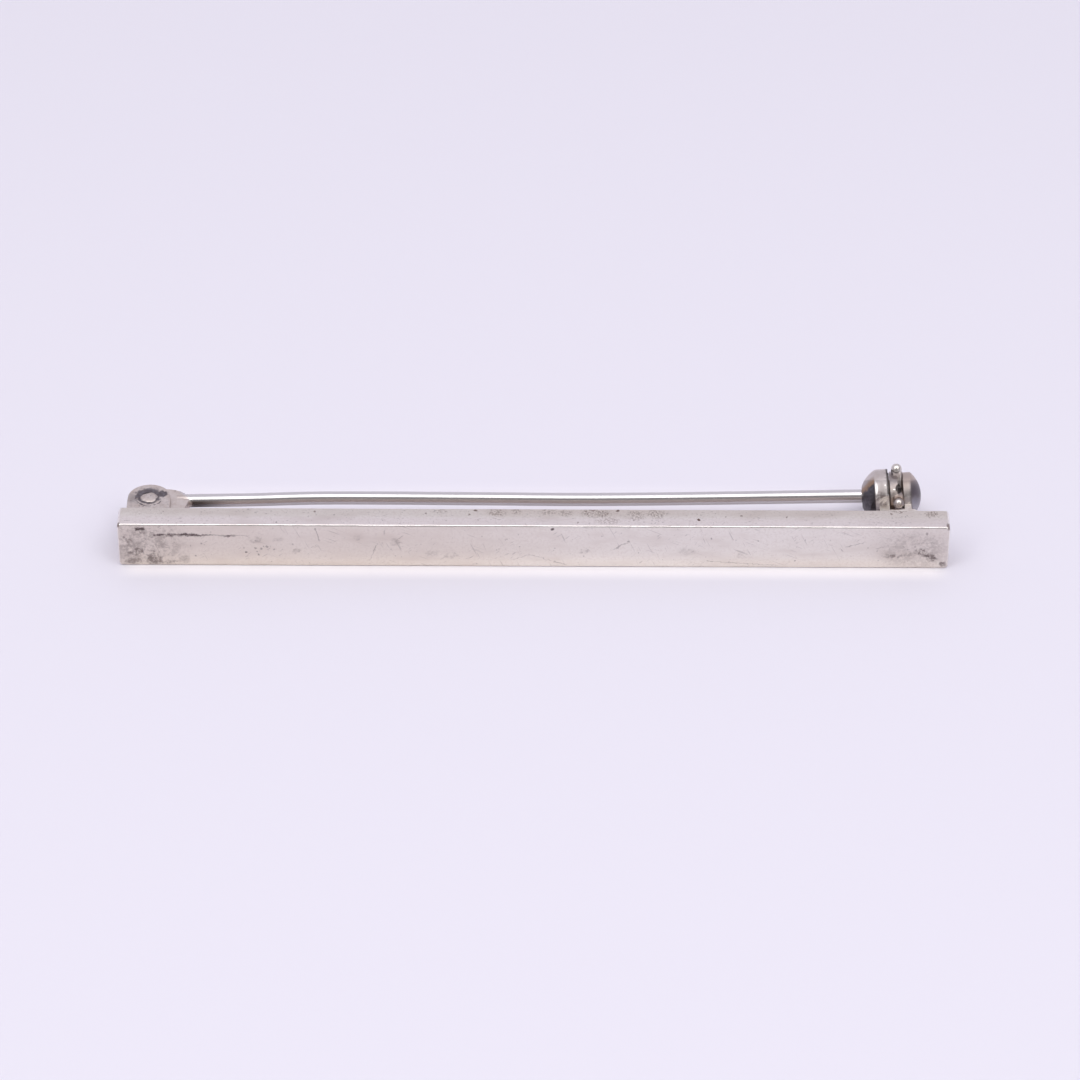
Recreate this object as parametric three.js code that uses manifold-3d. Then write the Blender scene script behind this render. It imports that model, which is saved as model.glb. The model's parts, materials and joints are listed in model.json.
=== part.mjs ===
// Bar brooch: a plain rectangular bar with a hinged pin stem and a ball safety catch on its back.
// Millimetres and degrees. X runs along the bar, -Y is its front, +Z is up. The origin is the middle
// of the long narrow face that the bar stands on.
import * as THREE from 'three';
import { mergeVertices } from 'three/addons/utils/BufferGeometryUtils.js';
import Module from 'manifold-3d';

const wasm = await Module();
wasm.setup();

// Bar: the edges of its front and back are rounded, and so are the corners that they show at its ends
const BAR_LENGTH = 58;
const BAR_DEPTH = 2;
const BAR_HEIGHT = 3.6;
const BAR_EDGE_RADIUS = 0.1;
const BAR_CORNER_RADIUS = 0.26;

// The rivet, the pin wire and the catch share one height, a little above the middle of the bar
const FITTINGS_RISE = 0.1;

// Hinge bracket: two round-topped ears on a base plate
const HINGE_INSET = 1.9;
const EAR_RADIUS = 1.5;
const EAR_THICKNESS = 0.38;
const EAR_FLARE = 0.2;
const EAR_FLARE_RISE = 0.6;
const EAR_BEVEL = 0.06;
const BASE_PLATE_THICKNESS = 0.4;

// Hinge rivet, with its ends peened into low heads
const RIVET_DIAMETER = 0.9;
const RIVET_CLEARANCE = 0.04;
const RIVET_HEAD_OVERLAP = 0.09;
const RIVET_HEAD_HEIGHT = 0.12;

// Pin stem: a flattened tongue with its eye and heel
const EYE_RADIUS = 1.42;
const EYE_GAP = 0.45;
const TONGUE_THICKNESS = 0.74;
const TONGUE_CLEARANCE = 0.05;
const TONGUE_REACH = 1.3;
const TONGUE_CROWN = 0.33;
const TONGUE_CORNER = 0.4;
const TONGUE_BEVEL = 0.08;
const HEEL_STEP = 0.37;

// Pin stem: a wire that grows out of the tongue and ends in a ground point, 1 being a plain cone
const WIRE_DIAMETER = 0.95;
const WIRE_OFFSET = 0.7;
const WIRE_ROOT_INSET = 0.06;
const POINT_LENGTH = 3.2;
const POINT_DIAMETER = 0.16;
const POINT_FULLNESS = 1.6;

// Hand-bent sway of the wire: share of the way from rivet to ball, and distance off the straight line
const WIRE_SWAY = [
  [0.27, 0.17],
  [0.6, -0.18],
];

// Catch rotor: a wheel on a hub with a collar, with a slit for the pin, two thumb nubs that swell out of
// its rim and a hollow between them
const CATCH_INSET = 3.8;
const PIN_CLEARANCE = 0.22;
const MOUTH_CLEARANCE = 0.24;
const HUB_WALL = 0.385;
const ROTOR_RIM = 0.52;
const ROTOR_THICKNESS = 0.73;
const ROTOR_EDGE_RADIUS = 0.2;
const COLLAR_WALL = 0.57;
const COLLAR_GAP = 0.1;
const NUB_SHOULDER = 0.005;
const NUB_PROUD = 0.21;
const NUB_SPREAD = 86.5;
const NUB_ROOT_RISE = 0.3;
const NUB_ROOT_FLARE = 0.095;
const HOLLOW_WIDTH = 0.53;
const HOLLOW_DEPTH = 0.42;

// Catch ball: two bored half balls with the rotor's slot between them, each with a band at the slot
const HUB_CLEARANCE = 0.06;
const SLOT_OFFSET = 0.4;
const SLOT_GAP_LEFT = 0.26;
const SLOT_GAP_RIGHT = 0.05;
const SEAT_DEPTH_LEFT = 0.5;
const SEAT_DEPTH_RIGHT = 0.4;
const SEAT_WALL = 0.41;
const BAND_RISE_LEFT = 0.35;
const BAND_RISE_RIGHT = 0.03;
const BALL_CROWN = 0.24;
const POCKET_DEPTH = 0.15;
const POINT_GAP = 0.48;

// Catch foot: a pad on the bar, and a web that carries a saddle under each half ball. The whole catch is
// soldered on with a slight twist about its foot, in degrees
const CATCH_TWIST = 5;
const PAD_LENGTH = 3.9;
const PAD_WIDTH = 2.8;
const PAD_THICKNESS = 0.45;
const PAD_CORNER = 0.6;
const WEB_HEIGHT = 1.88;
const WEB_WIDTH = 0.74;
const WEB_FLARE = 0.45;
const SADDLE_LENGTH_LEFT = 0.71;
const SADDLE_LENGTH_RIGHT = 0.48;
const ROTOR_HEADROOM = 0.48;
const STOP_GAP = 0.05;

// Facets and steps of round shapes, the distance below which points are one, and a margin that takes
// a cutter past the piece it cuts
const TURN_FACETS = 40;
const WIRE_FACETS = 16;
const WIRE_RINGS = 26;
const NUB_FACETS = 20;
const RIM_FACETS = 90;
const ARC_STEPS = 8;
const FINE_ARC_STEPS = 4;
const BEVEL_STEPS = 3;
const SAME_POINT = 1e-5;
const CUT_MARGIN = 1;

// Bar and hinge values that follow from the sizes above
const backFace = BAR_DEPTH / 2;
const fittingsHeight = BAR_HEIGHT / 2 + FITTINGS_RISE;
const hingeX = -BAR_LENGTH / 2 + HINGE_INSET;
const catchX = BAR_LENGTH / 2 - CATCH_INSET;
const rivetReach = BASE_PLATE_THICKNESS + EYE_GAP + EYE_RADIUS;
const rivetHole = RIVET_DIAMETER / 2 + RIVET_CLEARANCE;
const tongueGap = TONGUE_THICKNESS + 2 * TONGUE_CLEARANCE;
const tongueLength = EAR_RADIUS + TONGUE_REACH;
const bracketWidth = tongueGap + 2 * EAR_THICKNESS;
const wireRadius = WIRE_DIAMETER / 2;

// Catch values that follow, from the pin wire outwards
const pinBore = wireRadius + PIN_CLEARANCE;
const mouthWidth = WIRE_DIAMETER + 2 * MOUTH_CLEARANCE;
const hubRadius = pinBore + HUB_WALL;
const rotorRadius = hubRadius + ROTOR_RIM;
const seatRadius = hubRadius + HUB_CLEARANCE;
const saddleDrop = seatRadius + SEAT_WALL;
const bandLeft = saddleDrop + BAND_RISE_LEFT;
const bandRight = saddleDrop + BAND_RISE_RIGHT;
const ballRadius = Math.max(bandLeft, bandRight) + BALL_CROWN;
const catchReach = saddleDrop + WEB_HEIGHT + PAD_THICKNESS;

// Stations along the catch, from the ball's middle
const slotWidth = SLOT_GAP_LEFT + ROTOR_THICKNESS + SLOT_GAP_RIGHT;
const slotStart = SLOT_OFFSET - slotWidth / 2;
const slotEnd = SLOT_OFFSET + slotWidth / 2;
const seatLeft = slotStart - SEAT_DEPTH_LEFT;
const seatRight = slotEnd + SEAT_DEPTH_RIGHT;
const pocketEnd = seatRight + POCKET_DEPTH;
const pinEnd = pocketEnd - POINT_GAP;

// The lower nub rests just clear of the web's edge in the slot, which stops it
const nubRadius = ROTOR_THICKNESS / 2 - NUB_SHOULDER;
const nubTip = ballRadius + NUB_PROUD - nubRadius;
const rotorFloor = rotorRadius + ROTOR_HEADROOM;
const webEdge = Math.hypot(rotorFloor, WEB_WIDTH / 2);
const stopReach = nubRadius + STOP_GAP;
const stopSwing = Math.acos((webEdge ** 2 + nubTip ** 2 - stopReach ** 2) / (2 * webEdge * nubTip));
const stopAngle = Math.atan2(WEB_WIDTH / 2, rotorFloor) + stopSwing;
const lowerNub = 180 - THREE.MathUtils.radToDeg(stopAngle);
const upperNub = lowerNub - NUB_SPREAD;

// Mesh and solid helpers

const X = new THREE.Vector3(1, 0, 0);
const Y = new THREE.Vector3(0, 1, 0);
const Z = new THREE.Vector3(0, 0, 1);

// Each lays an extrusion's length along the named axis
const lengthAlongX = new THREE.Matrix4().makeBasis(Y, Z, X);
const lengthAlongY = new THREE.Matrix4().makeBasis(Z, X, Y);

function toSolid(geometry) {
  const bare = geometry.clone();
  bare.deleteAttribute('normal');
  bare.deleteAttribute('uv');
  const merged = mergeVertices(bare, SAME_POINT);
  const corners = merged.index.array;
  const kept = [];
  for (let i = 0; i < corners.length; i += 3) {
    const [a, b, c] = corners.slice(i, i + 3);
    if (a !== b && b !== c && c !== a) kept.push(a, b, c);
  }
  return new wasm.Manifold(new wasm.Mesh({
    numProp: 3,
    vertProperties: new Float32Array(merged.attributes.position.array),
    triVerts: new Uint32Array(kept),
  }));
}

function toGeometry(solid) {
  const mesh = solid.getMesh();
  const geometry = new THREE.BufferGeometry();
  geometry.setAttribute('position', new THREE.BufferAttribute(mesh.vertProperties, 3));
  geometry.setIndex(new THREE.BufferAttribute(mesh.triVerts, 1));
  geometry.computeVertexNormals();
  return geometry;
}

// An extrusion centred on its own length, with its rims rounded by a bevel inside the outline
function extrude(shape, length, bevel) {
  const geometry = new THREE.ExtrudeGeometry(shape, {
    depth: length - 2 * bevel,
    bevelEnabled: bevel > 0,
    bevelThickness: bevel,
    bevelSize: bevel,
    bevelOffset: -bevel,
    bevelSegments: BEVEL_STEPS,
    curveSegments: ARC_STEPS,
    steps: 1,
  });
  return geometry.translate(0, 0, bevel - length / 2);
}

function roundedRectangle(width, height, radius) {
  const x = width / 2 - radius;
  const y = height / 2 - radius;
  const shape = new THREE.Shape();
  shape.absarc(x, y, radius, 0, Math.PI / 2, false);
  shape.absarc(-x, y, radius, Math.PI / 2, Math.PI, false);
  shape.absarc(-x, -y, radius, Math.PI, 1.5 * Math.PI, false);
  shape.absarc(x, -y, radius, 1.5 * Math.PI, 2 * Math.PI, false);
  shape.closePath();
  return shape;
}

// A box between two corners
function block(low, high) {
  const size = high.map((value, i) => value - low[i]);
  const middle = high.map((value, i) => (value + low[i]) / 2);
  return new THREE.BoxGeometry(...size).translate(...middle);
}

// A cylinder along X between two stations
function rodAlongX(radius, start, end) {
  const rod = new THREE.CylinderGeometry(radius, radius, end - start, TURN_FACETS);
  return rod.rotateZ(-Math.PI / 2).translate((start + end) / 2, 0, 0);
}

// A cylinder along Z, longer than the plate that it pierces
function drillAlongZ(radius, plate) {
  const drill = new THREE.CylinderGeometry(radius, radius, plate + CUT_MARGIN, TURN_FACETS);
  return drill.rotateX(Math.PI / 2);
}

// A revolve about Y, from [radius, station] pairs
function turn(profile, facets = TURN_FACETS) {
  const points = profile.map(([radius, station]) => new THREE.Vector2(radius, station));
  return new THREE.LatheGeometry(points, facets);
}

function turnAboutX(profile, facets) {
  return turn(profile, facets).rotateZ(-Math.PI / 2);
}

// Points of the ball's outline, between two stations
function ballArc(from, to) {
  const arc = [];
  const start = Math.acos(from / ballRadius);
  const end = Math.acos(to / ballRadius);
  for (let i = 0; i <= ARC_STEPS; i += 1) {
    const angle = start + (end - start) * i / ARC_STEPS;
    arc.push([ballRadius * Math.sin(angle), ballRadius * Math.cos(angle)]);
  }
  return arc;
}

// Station where the ball's outline has the given radius
function ballStation(radius) {
  return Math.sqrt(ballRadius ** 2 - radius ** 2);
}

// A smooth curve through [place, height] pairs, as a function of place
function smoothThrough(pairs) {
  const slope = (i) => {
    const before = pairs[Math.max(i - 1, 0)];
    const after = pairs[Math.min(i + 1, pairs.length - 1)];
    return (after[1] - before[1]) / (after[0] - before[0]);
  };
  return (place) => {
    let i = 0;
    while (i < pairs.length - 2 && place > pairs[i + 1][0]) i += 1;
    const [x0, y0] = pairs[i];
    const [x1, y1] = pairs[i + 1];
    const span = x1 - x0;
    const t = (place - x0) / span;
    const rise = (2 * t ** 3 - 3 * t ** 2 + 1) * y0 + (3 * t ** 2 - 2 * t ** 3) * y1;
    return rise + span * ((t ** 3 - 2 * t ** 2 + t) * slope(i) + (t ** 3 - t ** 2) * slope(i + 1));
  };
}

// Bar

function barGeometry() {
  const face = roundedRectangle(BAR_LENGTH, BAR_HEIGHT, BAR_CORNER_RADIUS);
  const bar = extrude(face, BAR_DEPTH, BAR_EDGE_RADIUS).rotateX(Math.PI / 2);
  return toGeometry(toSolid(bar.translate(0, 0, BAR_HEIGHT / 2)));
}

// Hinge, about the rivet's middle

function hingeBracketGeometry() {
  const foot = -rivetReach;
  const flareTop = foot + EAR_FLARE_RISE;
  const flareBend = foot + EAR_FLARE_RISE / 2;
  const outline = new THREE.Shape();
  outline.moveTo(EAR_RADIUS + EAR_FLARE, foot);
  outline.quadraticCurveTo(EAR_RADIUS, flareBend, EAR_RADIUS, flareTop);
  outline.absarc(0, 0, EAR_RADIUS, 0, Math.PI, false);
  outline.lineTo(-EAR_RADIUS, flareTop);
  outline.quadraticCurveTo(-EAR_RADIUS, flareBend, -EAR_RADIUS - EAR_FLARE, foot);
  outline.closePath();
  const reach = EAR_RADIUS + EAR_FLARE + CUT_MARGIN;
  const gap = block(
    [-reach, foot + BASE_PLATE_THICKNESS, -tongueGap / 2],
    [reach, EAR_RADIUS + CUT_MARGIN, tongueGap / 2],
  );
  const ears = toSolid(extrude(outline, bracketWidth, EAR_BEVEL));
  const hole = drillAlongZ(rivetHole, bracketWidth);
  return toGeometry(ears.subtract(toSolid(gap)).subtract(toSolid(hole)));
}

function hingeRivetGeometry() {
  const half = bracketWidth / 2;
  const shank = RIVET_DIAMETER / 2;
  const head = rivetHole + RIVET_HEAD_OVERLAP;
  const dome = [];
  for (let i = 0; i <= FINE_ARC_STEPS; i += 1) {
    const angle = (Math.PI / 2) * (i / FINE_ARC_STEPS);
    dome.push([head * Math.sin(angle), half + RIVET_HEAD_HEIGHT * Math.cos(angle)]);
  }
  const lowerDome = dome.map(([radius, station]) => [radius, -station]);
  const profile = [...lowerDome, [shank, -half], [shank, half], ...dome.reverse()];
  return toGeometry(toSolid(turn(profile).rotateX(Math.PI / 2)));
}

// Pin stem, about the rivet's middle

function tongueSolid() {
  const shoulder = WIRE_OFFSET + wireRadius;
  const heelDrop = EYE_RADIUS - HEEL_STEP;
  const heelAngle = 2 * Math.PI - Math.asin(heelDrop / EYE_RADIUS);
  const cornerX = tongueLength - TONGUE_CORNER;
  const outline = new THREE.Shape();
  outline.absarc(0, 0, EYE_RADIUS, Math.PI / 2, heelAngle, false);
  outline.lineTo(cornerX, -heelDrop);
  outline.absarc(cornerX, TONGUE_CORNER - heelDrop, TONGUE_CORNER, -Math.PI / 2, 0, false);
  outline.absarc(cornerX, shoulder - TONGUE_CORNER, TONGUE_CORNER, 0, Math.PI / 2, false);
  outline.quadraticCurveTo(tongueLength / 2, EYE_RADIUS + TONGUE_CROWN, 0, EYE_RADIUS);
  const tongue = toSolid(extrude(outline, TONGUE_THICKNESS, TONGUE_BEVEL));
  return tongue.subtract(toSolid(drillAlongZ(rivetHole, TONGUE_THICKNESS)));
}

// The wire starts thinner inside the tongue, clear of the ears, and is full where it leaves it
function wireSolid() {
  const span = catchX - hingeX;
  const wireEnd = span + pinEnd;
  const pointStart = wireEnd - POINT_LENGTH;
  const tip = POINT_DIAMETER / 2;
  const profile = [
    [0, EAR_RADIUS],
    [TONGUE_THICKNESS / 2 - WIRE_ROOT_INSET, EAR_RADIUS],
  ];
  for (let i = 0; i <= WIRE_RINGS; i += 1) {
    profile.push([wireRadius, tongueLength + (pointStart - tongueLength) * i / WIRE_RINGS]);
  }
  for (let i = 1; i <= ARC_STEPS; i += 1) {
    const share = i / ARC_STEPS;
    const radius = wireRadius + (tip - wireRadius) * share ** POINT_FULLNESS;
    profile.push([radius, pointStart + (POINT_LENGTH - tip) * share]);
  }
  profile.push([0, wireEnd]);
  const sway = smoothThrough([[0, 0], ...WIRE_SWAY, [1, 0]]);
  const wire = turnAboutX(profile, WIRE_FACETS);
  const position = wire.attributes.position;
  for (let i = 0; i < position.count; i += 1) {
    const share = position.getX(i) / span;
    const line = WIRE_OFFSET + (catchReach - rivetReach - WIRE_OFFSET) * share;
    position.setY(i, position.getY(i) + line + sway(share));
  }
  return toSolid(wire);
}

function pinStemGeometry() {
  return toGeometry(tongueSolid().add(wireSolid()));
}

// Catch, about the ball's middle

function catchFootGeometry() {
  const bottom = -catchReach;
  const padTop = bottom + PAD_THICKNESS;
  const flareTop = padTop + WEB_FLARE;
  const half = WEB_WIDTH / 2;
  const section = new THREE.Shape();
  section.moveTo(bottom, -half - WEB_FLARE);
  section.lineTo(padTop, -half - WEB_FLARE);
  section.quadraticCurveTo(padTop, -half, flareTop, -half);
  section.lineTo(-saddleDrop, -half);
  section.lineTo(-saddleDrop, half);
  section.lineTo(flareTop, half);
  section.quadraticCurveTo(padTop, half, padTop, half + WEB_FLARE);
  section.lineTo(bottom, half + WEB_FLARE);
  section.closePath();
  const webStart = slotStart - SADDLE_LENGTH_LEFT;
  const webEnd = slotEnd + SADDLE_LENGTH_RIGHT;
  const web = extrude(section, webEnd - webStart, 0).applyMatrix4(lengthAlongX);
  web.translate((webStart + webEnd) / 2, 0, 0);
  const pad = extrude(roundedRectangle(PAD_WIDTH, PAD_LENGTH, PAD_CORNER), PAD_THICKNESS, 0);
  pad.applyMatrix4(lengthAlongY).translate(0, bottom + PAD_THICKNESS / 2, 0);
  const rotorRoom = block([slotStart, -rotorFloor, -WEB_WIDTH], [slotEnd, 0, WEB_WIDTH]);
  return toGeometry(toSolid(web).add(toSolid(pad)).subtract(toSolid(rotorRoom)));
}

// Cuts the mouth that lets the pin in from behind, and the flat that sits on the foot
function finishCheek(turned, from, to) {
  const reach = ballRadius + CUT_MARGIN;
  const mouth = block([from, 0, -mouthWidth / 2], [to, reach, mouthWidth / 2]);
  const flat = block([-reach, -reach, -reach], [reach, -saddleDrop, reach]);
  return toGeometry(toSolid(turned).subtract(toSolid(mouth)).subtract(toSolid(flat)));
}

function leftCheekGeometry() {
  const outer = -ballStation(pinBore);
  const profile = [
    ...ballArc(outer, -ballStation(bandLeft)),
    [bandLeft, slotStart],
    [seatRadius, slotStart],
    [seatRadius, seatLeft],
    [pinBore, seatLeft],
    [pinBore, outer],
  ];
  return finishCheek(turnAboutX(profile), -ballRadius - CUT_MARGIN, slotStart + CUT_MARGIN);
}

function rightCheekGeometry() {
  const profile = [
    [0, pocketEnd],
    [pinBore, pocketEnd],
    [pinBore, seatRight],
    [seatRadius, seatRight],
    [seatRadius, slotEnd],
    [bandRight, slotEnd],
    ...ballArc(ballStation(bandRight), ballRadius),
  ];
  return finishCheek(turnAboutX(profile), slotEnd - CUT_MARGIN, pocketEnd);
}

// Distance of the rotor's rim from its axis, at an angle in degrees
function rimReach(degrees) {
  const swell = (middle, width) => {
    const away = THREE.MathUtils.degToRad(degrees - middle) * rotorRadius;
    return Math.exp(-((away / width) ** 2));
  };
  const rootWidth = nubRadius + NUB_ROOT_FLARE;
  const roots = swell(upperNub, rootWidth) + swell(lowerNub, rootWidth);
  const hollow = swell((upperNub + lowerNub) / 2, HOLLOW_WIDTH);
  return rotorRadius + NUB_ROOT_RISE * roots - HOLLOW_DEPTH * hollow;
}

function wheelSolid(start, end) {
  const rim = [];
  for (let i = 0; i < RIM_FACETS; i += 1) {
    const degrees = (360 * i) / RIM_FACETS;
    const angle = THREE.MathUtils.degToRad(degrees);
    const reach = rimReach(degrees);
    rim.push(new THREE.Vector2(reach * Math.cos(angle), reach * Math.sin(angle)));
  }
  const wheel = extrude(new THREE.Shape(rim), end - start, ROTOR_EDGE_RADIUS);
  return toSolid(wheel.applyMatrix4(lengthAlongX).translate((start + end) / 2, 0, 0));
}

function nubSolid(middle, degrees) {
  const nub = new THREE.CapsuleGeometry(nubRadius, nubTip - hubRadius, FINE_ARC_STEPS, NUB_FACETS);
  nub.translate(middle, (nubTip + hubRadius) / 2, 0);
  return toSolid(nub.rotateX(THREE.MathUtils.degToRad(degrees)));
}

function rotorGeometry() {
  const wheelEnd = slotEnd - SLOT_GAP_RIGHT;
  const wheelStart = wheelEnd - ROTOR_THICKNESS;
  const wheelMiddle = (wheelStart + wheelEnd) / 2;
  const hubStart = seatLeft + HUB_CLEARANCE;
  const hubEnd = seatRight - HUB_CLEARANCE;
  const collarRadius = hubRadius + COLLAR_WALL;
  const bore = rodAlongX(pinBore, hubStart - CUT_MARGIN, hubEnd + CUT_MARGIN);
  const slit = block(
    [hubStart - CUT_MARGIN, 0, -mouthWidth / 2],
    [hubEnd + CUT_MARGIN, rotorRadius + CUT_MARGIN, mouthWidth / 2],
  );
  let rotor = wheelSolid(wheelStart, wheelEnd);
  rotor = rotor.add(toSolid(rodAlongX(hubRadius, hubStart, hubEnd)));
  rotor = rotor.add(toSolid(rodAlongX(collarRadius, slotStart + COLLAR_GAP, wheelMiddle)));
  for (const degrees of [upperNub, lowerNub]) {
    rotor = rotor.add(nubSolid(wheelMiddle, degrees));
  }
  for (const cutter of [bore, slit]) {
    rotor = rotor.subtract(toSolid(cutter));
  }
  return toGeometry(rotor);
}

// Assembly

function piece(name, geometry, color, roughness) {
  const material = new THREE.MeshStandardMaterial({ color, roughness, metalness: 1 });
  const mesh = new THREE.Mesh(geometry, material);
  mesh.name = name;
  return mesh;
}

const hinge = new THREE.Group();
hinge.position.set(hingeX, backFace + rivetReach, fittingsHeight);
hinge.add(
  piece('hinge_bracket', hingeBracketGeometry(), 0xbfb2b0, 0.45),
  piece('hinge_rivet', hingeRivetGeometry(), 0xc9bdb8, 0.4),
  piece('pin_stem', pinStemGeometry(), 0xcfcbcd, 0.15),
);

const safetyCatch = new THREE.Group();
safetyCatch.position.set(catchX, backFace + catchReach, fittingsHeight);
safetyCatch.rotation.y = -THREE.MathUtils.degToRad(CATCH_TWIST);
safetyCatch.add(
  piece('catch_foot', catchFootGeometry(), 0xb9adaa, 0.45),
  piece('catch_cheek_left', leftCheekGeometry(), 0xbcb0b0, 0.2),
  piece('catch_cheek_right', rightCheekGeometry(), 0xb4a8a6, 0.22),
  piece('catch_rotor', rotorGeometry(), 0xc4bab8, 0.25),
);

const brooch = new THREE.Group();
brooch.name = 'bar_brooch';
brooch.add(piece('bar', barGeometry(), 0xd2c6c6, 0.35), hinge, safetyCatch);

export default brooch;
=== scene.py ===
# Bar brooch in worn silver: its bar, hinge, pin stem and ball safety catch, dressed around the packed
# frame. Sizes are millimetres and degrees unless a name says otherwise.
import json
import math

import bmesh
import bpy
from mathutils import Matrix, Vector, noise


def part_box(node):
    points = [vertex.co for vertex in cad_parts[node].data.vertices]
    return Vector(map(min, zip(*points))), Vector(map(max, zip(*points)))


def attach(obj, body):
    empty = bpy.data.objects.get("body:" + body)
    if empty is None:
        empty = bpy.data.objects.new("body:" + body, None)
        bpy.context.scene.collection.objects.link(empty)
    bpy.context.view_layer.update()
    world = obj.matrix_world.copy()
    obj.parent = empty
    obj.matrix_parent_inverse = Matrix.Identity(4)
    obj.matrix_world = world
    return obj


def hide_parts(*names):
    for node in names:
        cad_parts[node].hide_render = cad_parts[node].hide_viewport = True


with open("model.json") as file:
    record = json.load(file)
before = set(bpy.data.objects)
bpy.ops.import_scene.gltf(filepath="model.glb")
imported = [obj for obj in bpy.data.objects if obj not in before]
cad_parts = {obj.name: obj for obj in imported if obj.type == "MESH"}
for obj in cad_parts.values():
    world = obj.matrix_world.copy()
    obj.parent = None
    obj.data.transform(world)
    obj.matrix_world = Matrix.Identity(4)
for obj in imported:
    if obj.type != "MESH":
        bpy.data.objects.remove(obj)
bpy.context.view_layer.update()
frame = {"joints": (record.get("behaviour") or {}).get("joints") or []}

MM = 0.001
SCENE = bpy.context.scene
JOINTS = {joint["name"]: joint for joint in frame["joints"]}
ORIGIN = Vector((0, 0, 0))
RIVET = Vector(JOINTS["pin_swing"]["pos_m"])
BALL = Vector(JOINTS["rotor_turn"]["pos_m"])


def box_about(node, middle):
    """A node's lowest and highest corner in millimetres from a point of the frame."""
    low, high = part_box(node)
    return (low - middle) / MM, (high - middle) / MM


# Bar
BAR_LOW, BAR_HIGH = box_about("bar", ORIGIN)
BAR_EDGE_RADIUS = 0.12
BAR_CORNER_RADIUS = 0.26
BAR_EDGE_STEPS = 8
BAR_CUTS = 460
EDGE_WEAR_DEPTH = 0.014
EDGE_WEAR_PER_MM = 0.6

# Hinge bracket and rivet, about the rivet's middle
BRACKET_LOW, BRACKET_HIGH = box_about("hinge_bracket", RIVET)
RIVET_HIGH = box_about("hinge_rivet", RIVET)[1]
EAR_THICKNESS = 0.38
EAR_FLARE_RISE = 0.6
EAR_FLARE_BEND = 0.3
EAR_RIM = 0.13
PLATE_THICKNESS = 0.4
FOLD_RADIUS = 0.18
RIVET_HOLE_RADIUS = 0.49
RIVET_SHANK_RADIUS = 0.45
PEEN_DEPTH = 0.035
PEEN_DENTS_PER_MM = 3.1
PEEN_UNEVEN = 0.3

# Pin stem, about the rivet's middle
PIN_LOW, PIN_HIGH = box_about("pin_stem", RIVET)
EYE_RADIUS = -PIN_LOW.x
HEEL_DROP = 1.05
HEEL_BEND = 0.3
HEEL_CORNER = 0.2
TONGUE_LENGTH = 2.8
TONGUE_SLANT = 0.4
TONGUE_THICKNESS = 0.74
TONGUE_CORNER = 0.4
TONGUE_BULGE = 0.05
TONGUE_NOSE_DROP = 0.62
TONGUE_NOSE_BEND = 0.3
TONGUE_OVER_WIRE = 0.02
TONGUE_BACK = (1.25, 1.66)
TONGUE_BACK_BEND = 0.6
TONGUE_RIM = 0.12
WIRE_RADIUS = PIN_HIGH.z
WIRE_ROOT_RADIUS = 0.31
WIRE_NECK = TONGUE_LENGTH - 0.9
WIRE_NECK_RADIUS = WIRE_RADIUS * 0.86
WIRE_FULL_FROM = TONGUE_LENGTH - 0.3
WIRE_OFFSET = 0.7
WIRE_SIDES = 32
WIRE_RINGS = 70
WIRE_SWAY = [(0, -0.08), (0.13, 0), (0.22, 0.15), (0.32, 0.1), (0.42, -0.02), (0.62, -0.22), (1, 0)]
POINT_LENGTH = 3.2
POINT_RADIUS = 0.08
POINT_FULLNESS = 1.6
POINT_RINGS = 14

# Catch, about the ball's middle, before the twist with which it is soldered on
ROTOR_AXIS = Vector(JOINTS["rotor_turn"]["axis"])
CATCH_TWIST = math.atan2(-ROTOR_AXIS.z, -ROTOR_AXIS.x)
TWISTED = Matrix.Rotation(-CATCH_TWIST, 4, "Y")
FOOT_LOW, FOOT_HIGH = box_about("catch_foot", BALL)
SADDLE_DROP = -FOOT_HIGH.y
BALL_RADIUS = 2.14
BAND_LEFT = 1.9
BAND_RIGHT = 1.58
SLOT_START = -0.12
SLOT_END = 0.92
PIN_BORE = 0.695
MOUTH_WIDTH = 1.43
SEAT_RADIUS = 1.14
SEAT_DEPTH_LEFT = 0.5
SEAT_DEPTH_RIGHT = 0.4
HUB_GAP = 0.06
POCKET_DEPTH = 0.15
CHEEK_RIM = 0.08
HUB_RADIUS = 1.08
WHEEL_RADIUS = 1.6
WHEEL_THICKNESS = 0.73
WHEEL_GAP = 0.03
SLIT_RIM = 0.05
NUB_PROUD = 0.21
NUB_ANGLES = (72.4, 158.9)
NUB_SHIFT = -0.005
NUB_RADIUS = 0.385
NUB_ROOT_PROUD = 0.38
NUB_SPREAD = 18
HOLLOW_DEPTH = 0.42
HOLLOW_SPREAD = 19
ROTOR_EDGE = 0.17
COLLAR_RADIUS = 1.71
COLLAR_GAP = 0.1
# Dark dirt rings in the slot's gaps, which are partly painted shade
DIRT_AND_SHADE_RADIUS = 1.62
DIRT_AND_SHADE_RADIUS_RIGHT = 1.54
DIRT_AND_SHADE_GAP = 0.003
DIRT_AND_SHADE_THICKNESS = 0.06
DIRT_AND_SHADE_THICKNESS_RIGHT = 0.005
RIM_STEPS = 180
PAD_LENGTH = 3.9
PAD_WIDTH = 2.8
PAD_THICKNESS = 0.45
PAD_CORNER = 0.6
PAD_RIM = 0.1
WEB_WIDTH = 0.74
WEB_FLARE = 0.44
WEB_FLARE_BEND = WEB_FLARE - 0.02
WEB_LIFT = 0.1
SADDLE_LENGTH_LEFT = 0.71
SADDLE_LENGTH_RIGHT = 0.48
ROTOR_FLOOR = 2.08
FOOT_RIM = 0.05
SOLDER_SPREAD = 0.1
SOLDER_RISE = 0.2
SOLDER_CUTS = 9
SOLDER_LUMPS_PER_MM = 1.7

# Steps of round shapes, the share of a half width that rounds an end off, the distance below which
# points are one, a margin for cutters, and the angle of a sharp rim
TURN_STEPS = 72
ARC_STEPS = 14
CORNER_STEPS = 10
FULL_ROUND = 0.995
WELD = 0.0005
MARGIN = 1
SHARP_ANGLE = 40

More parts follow.
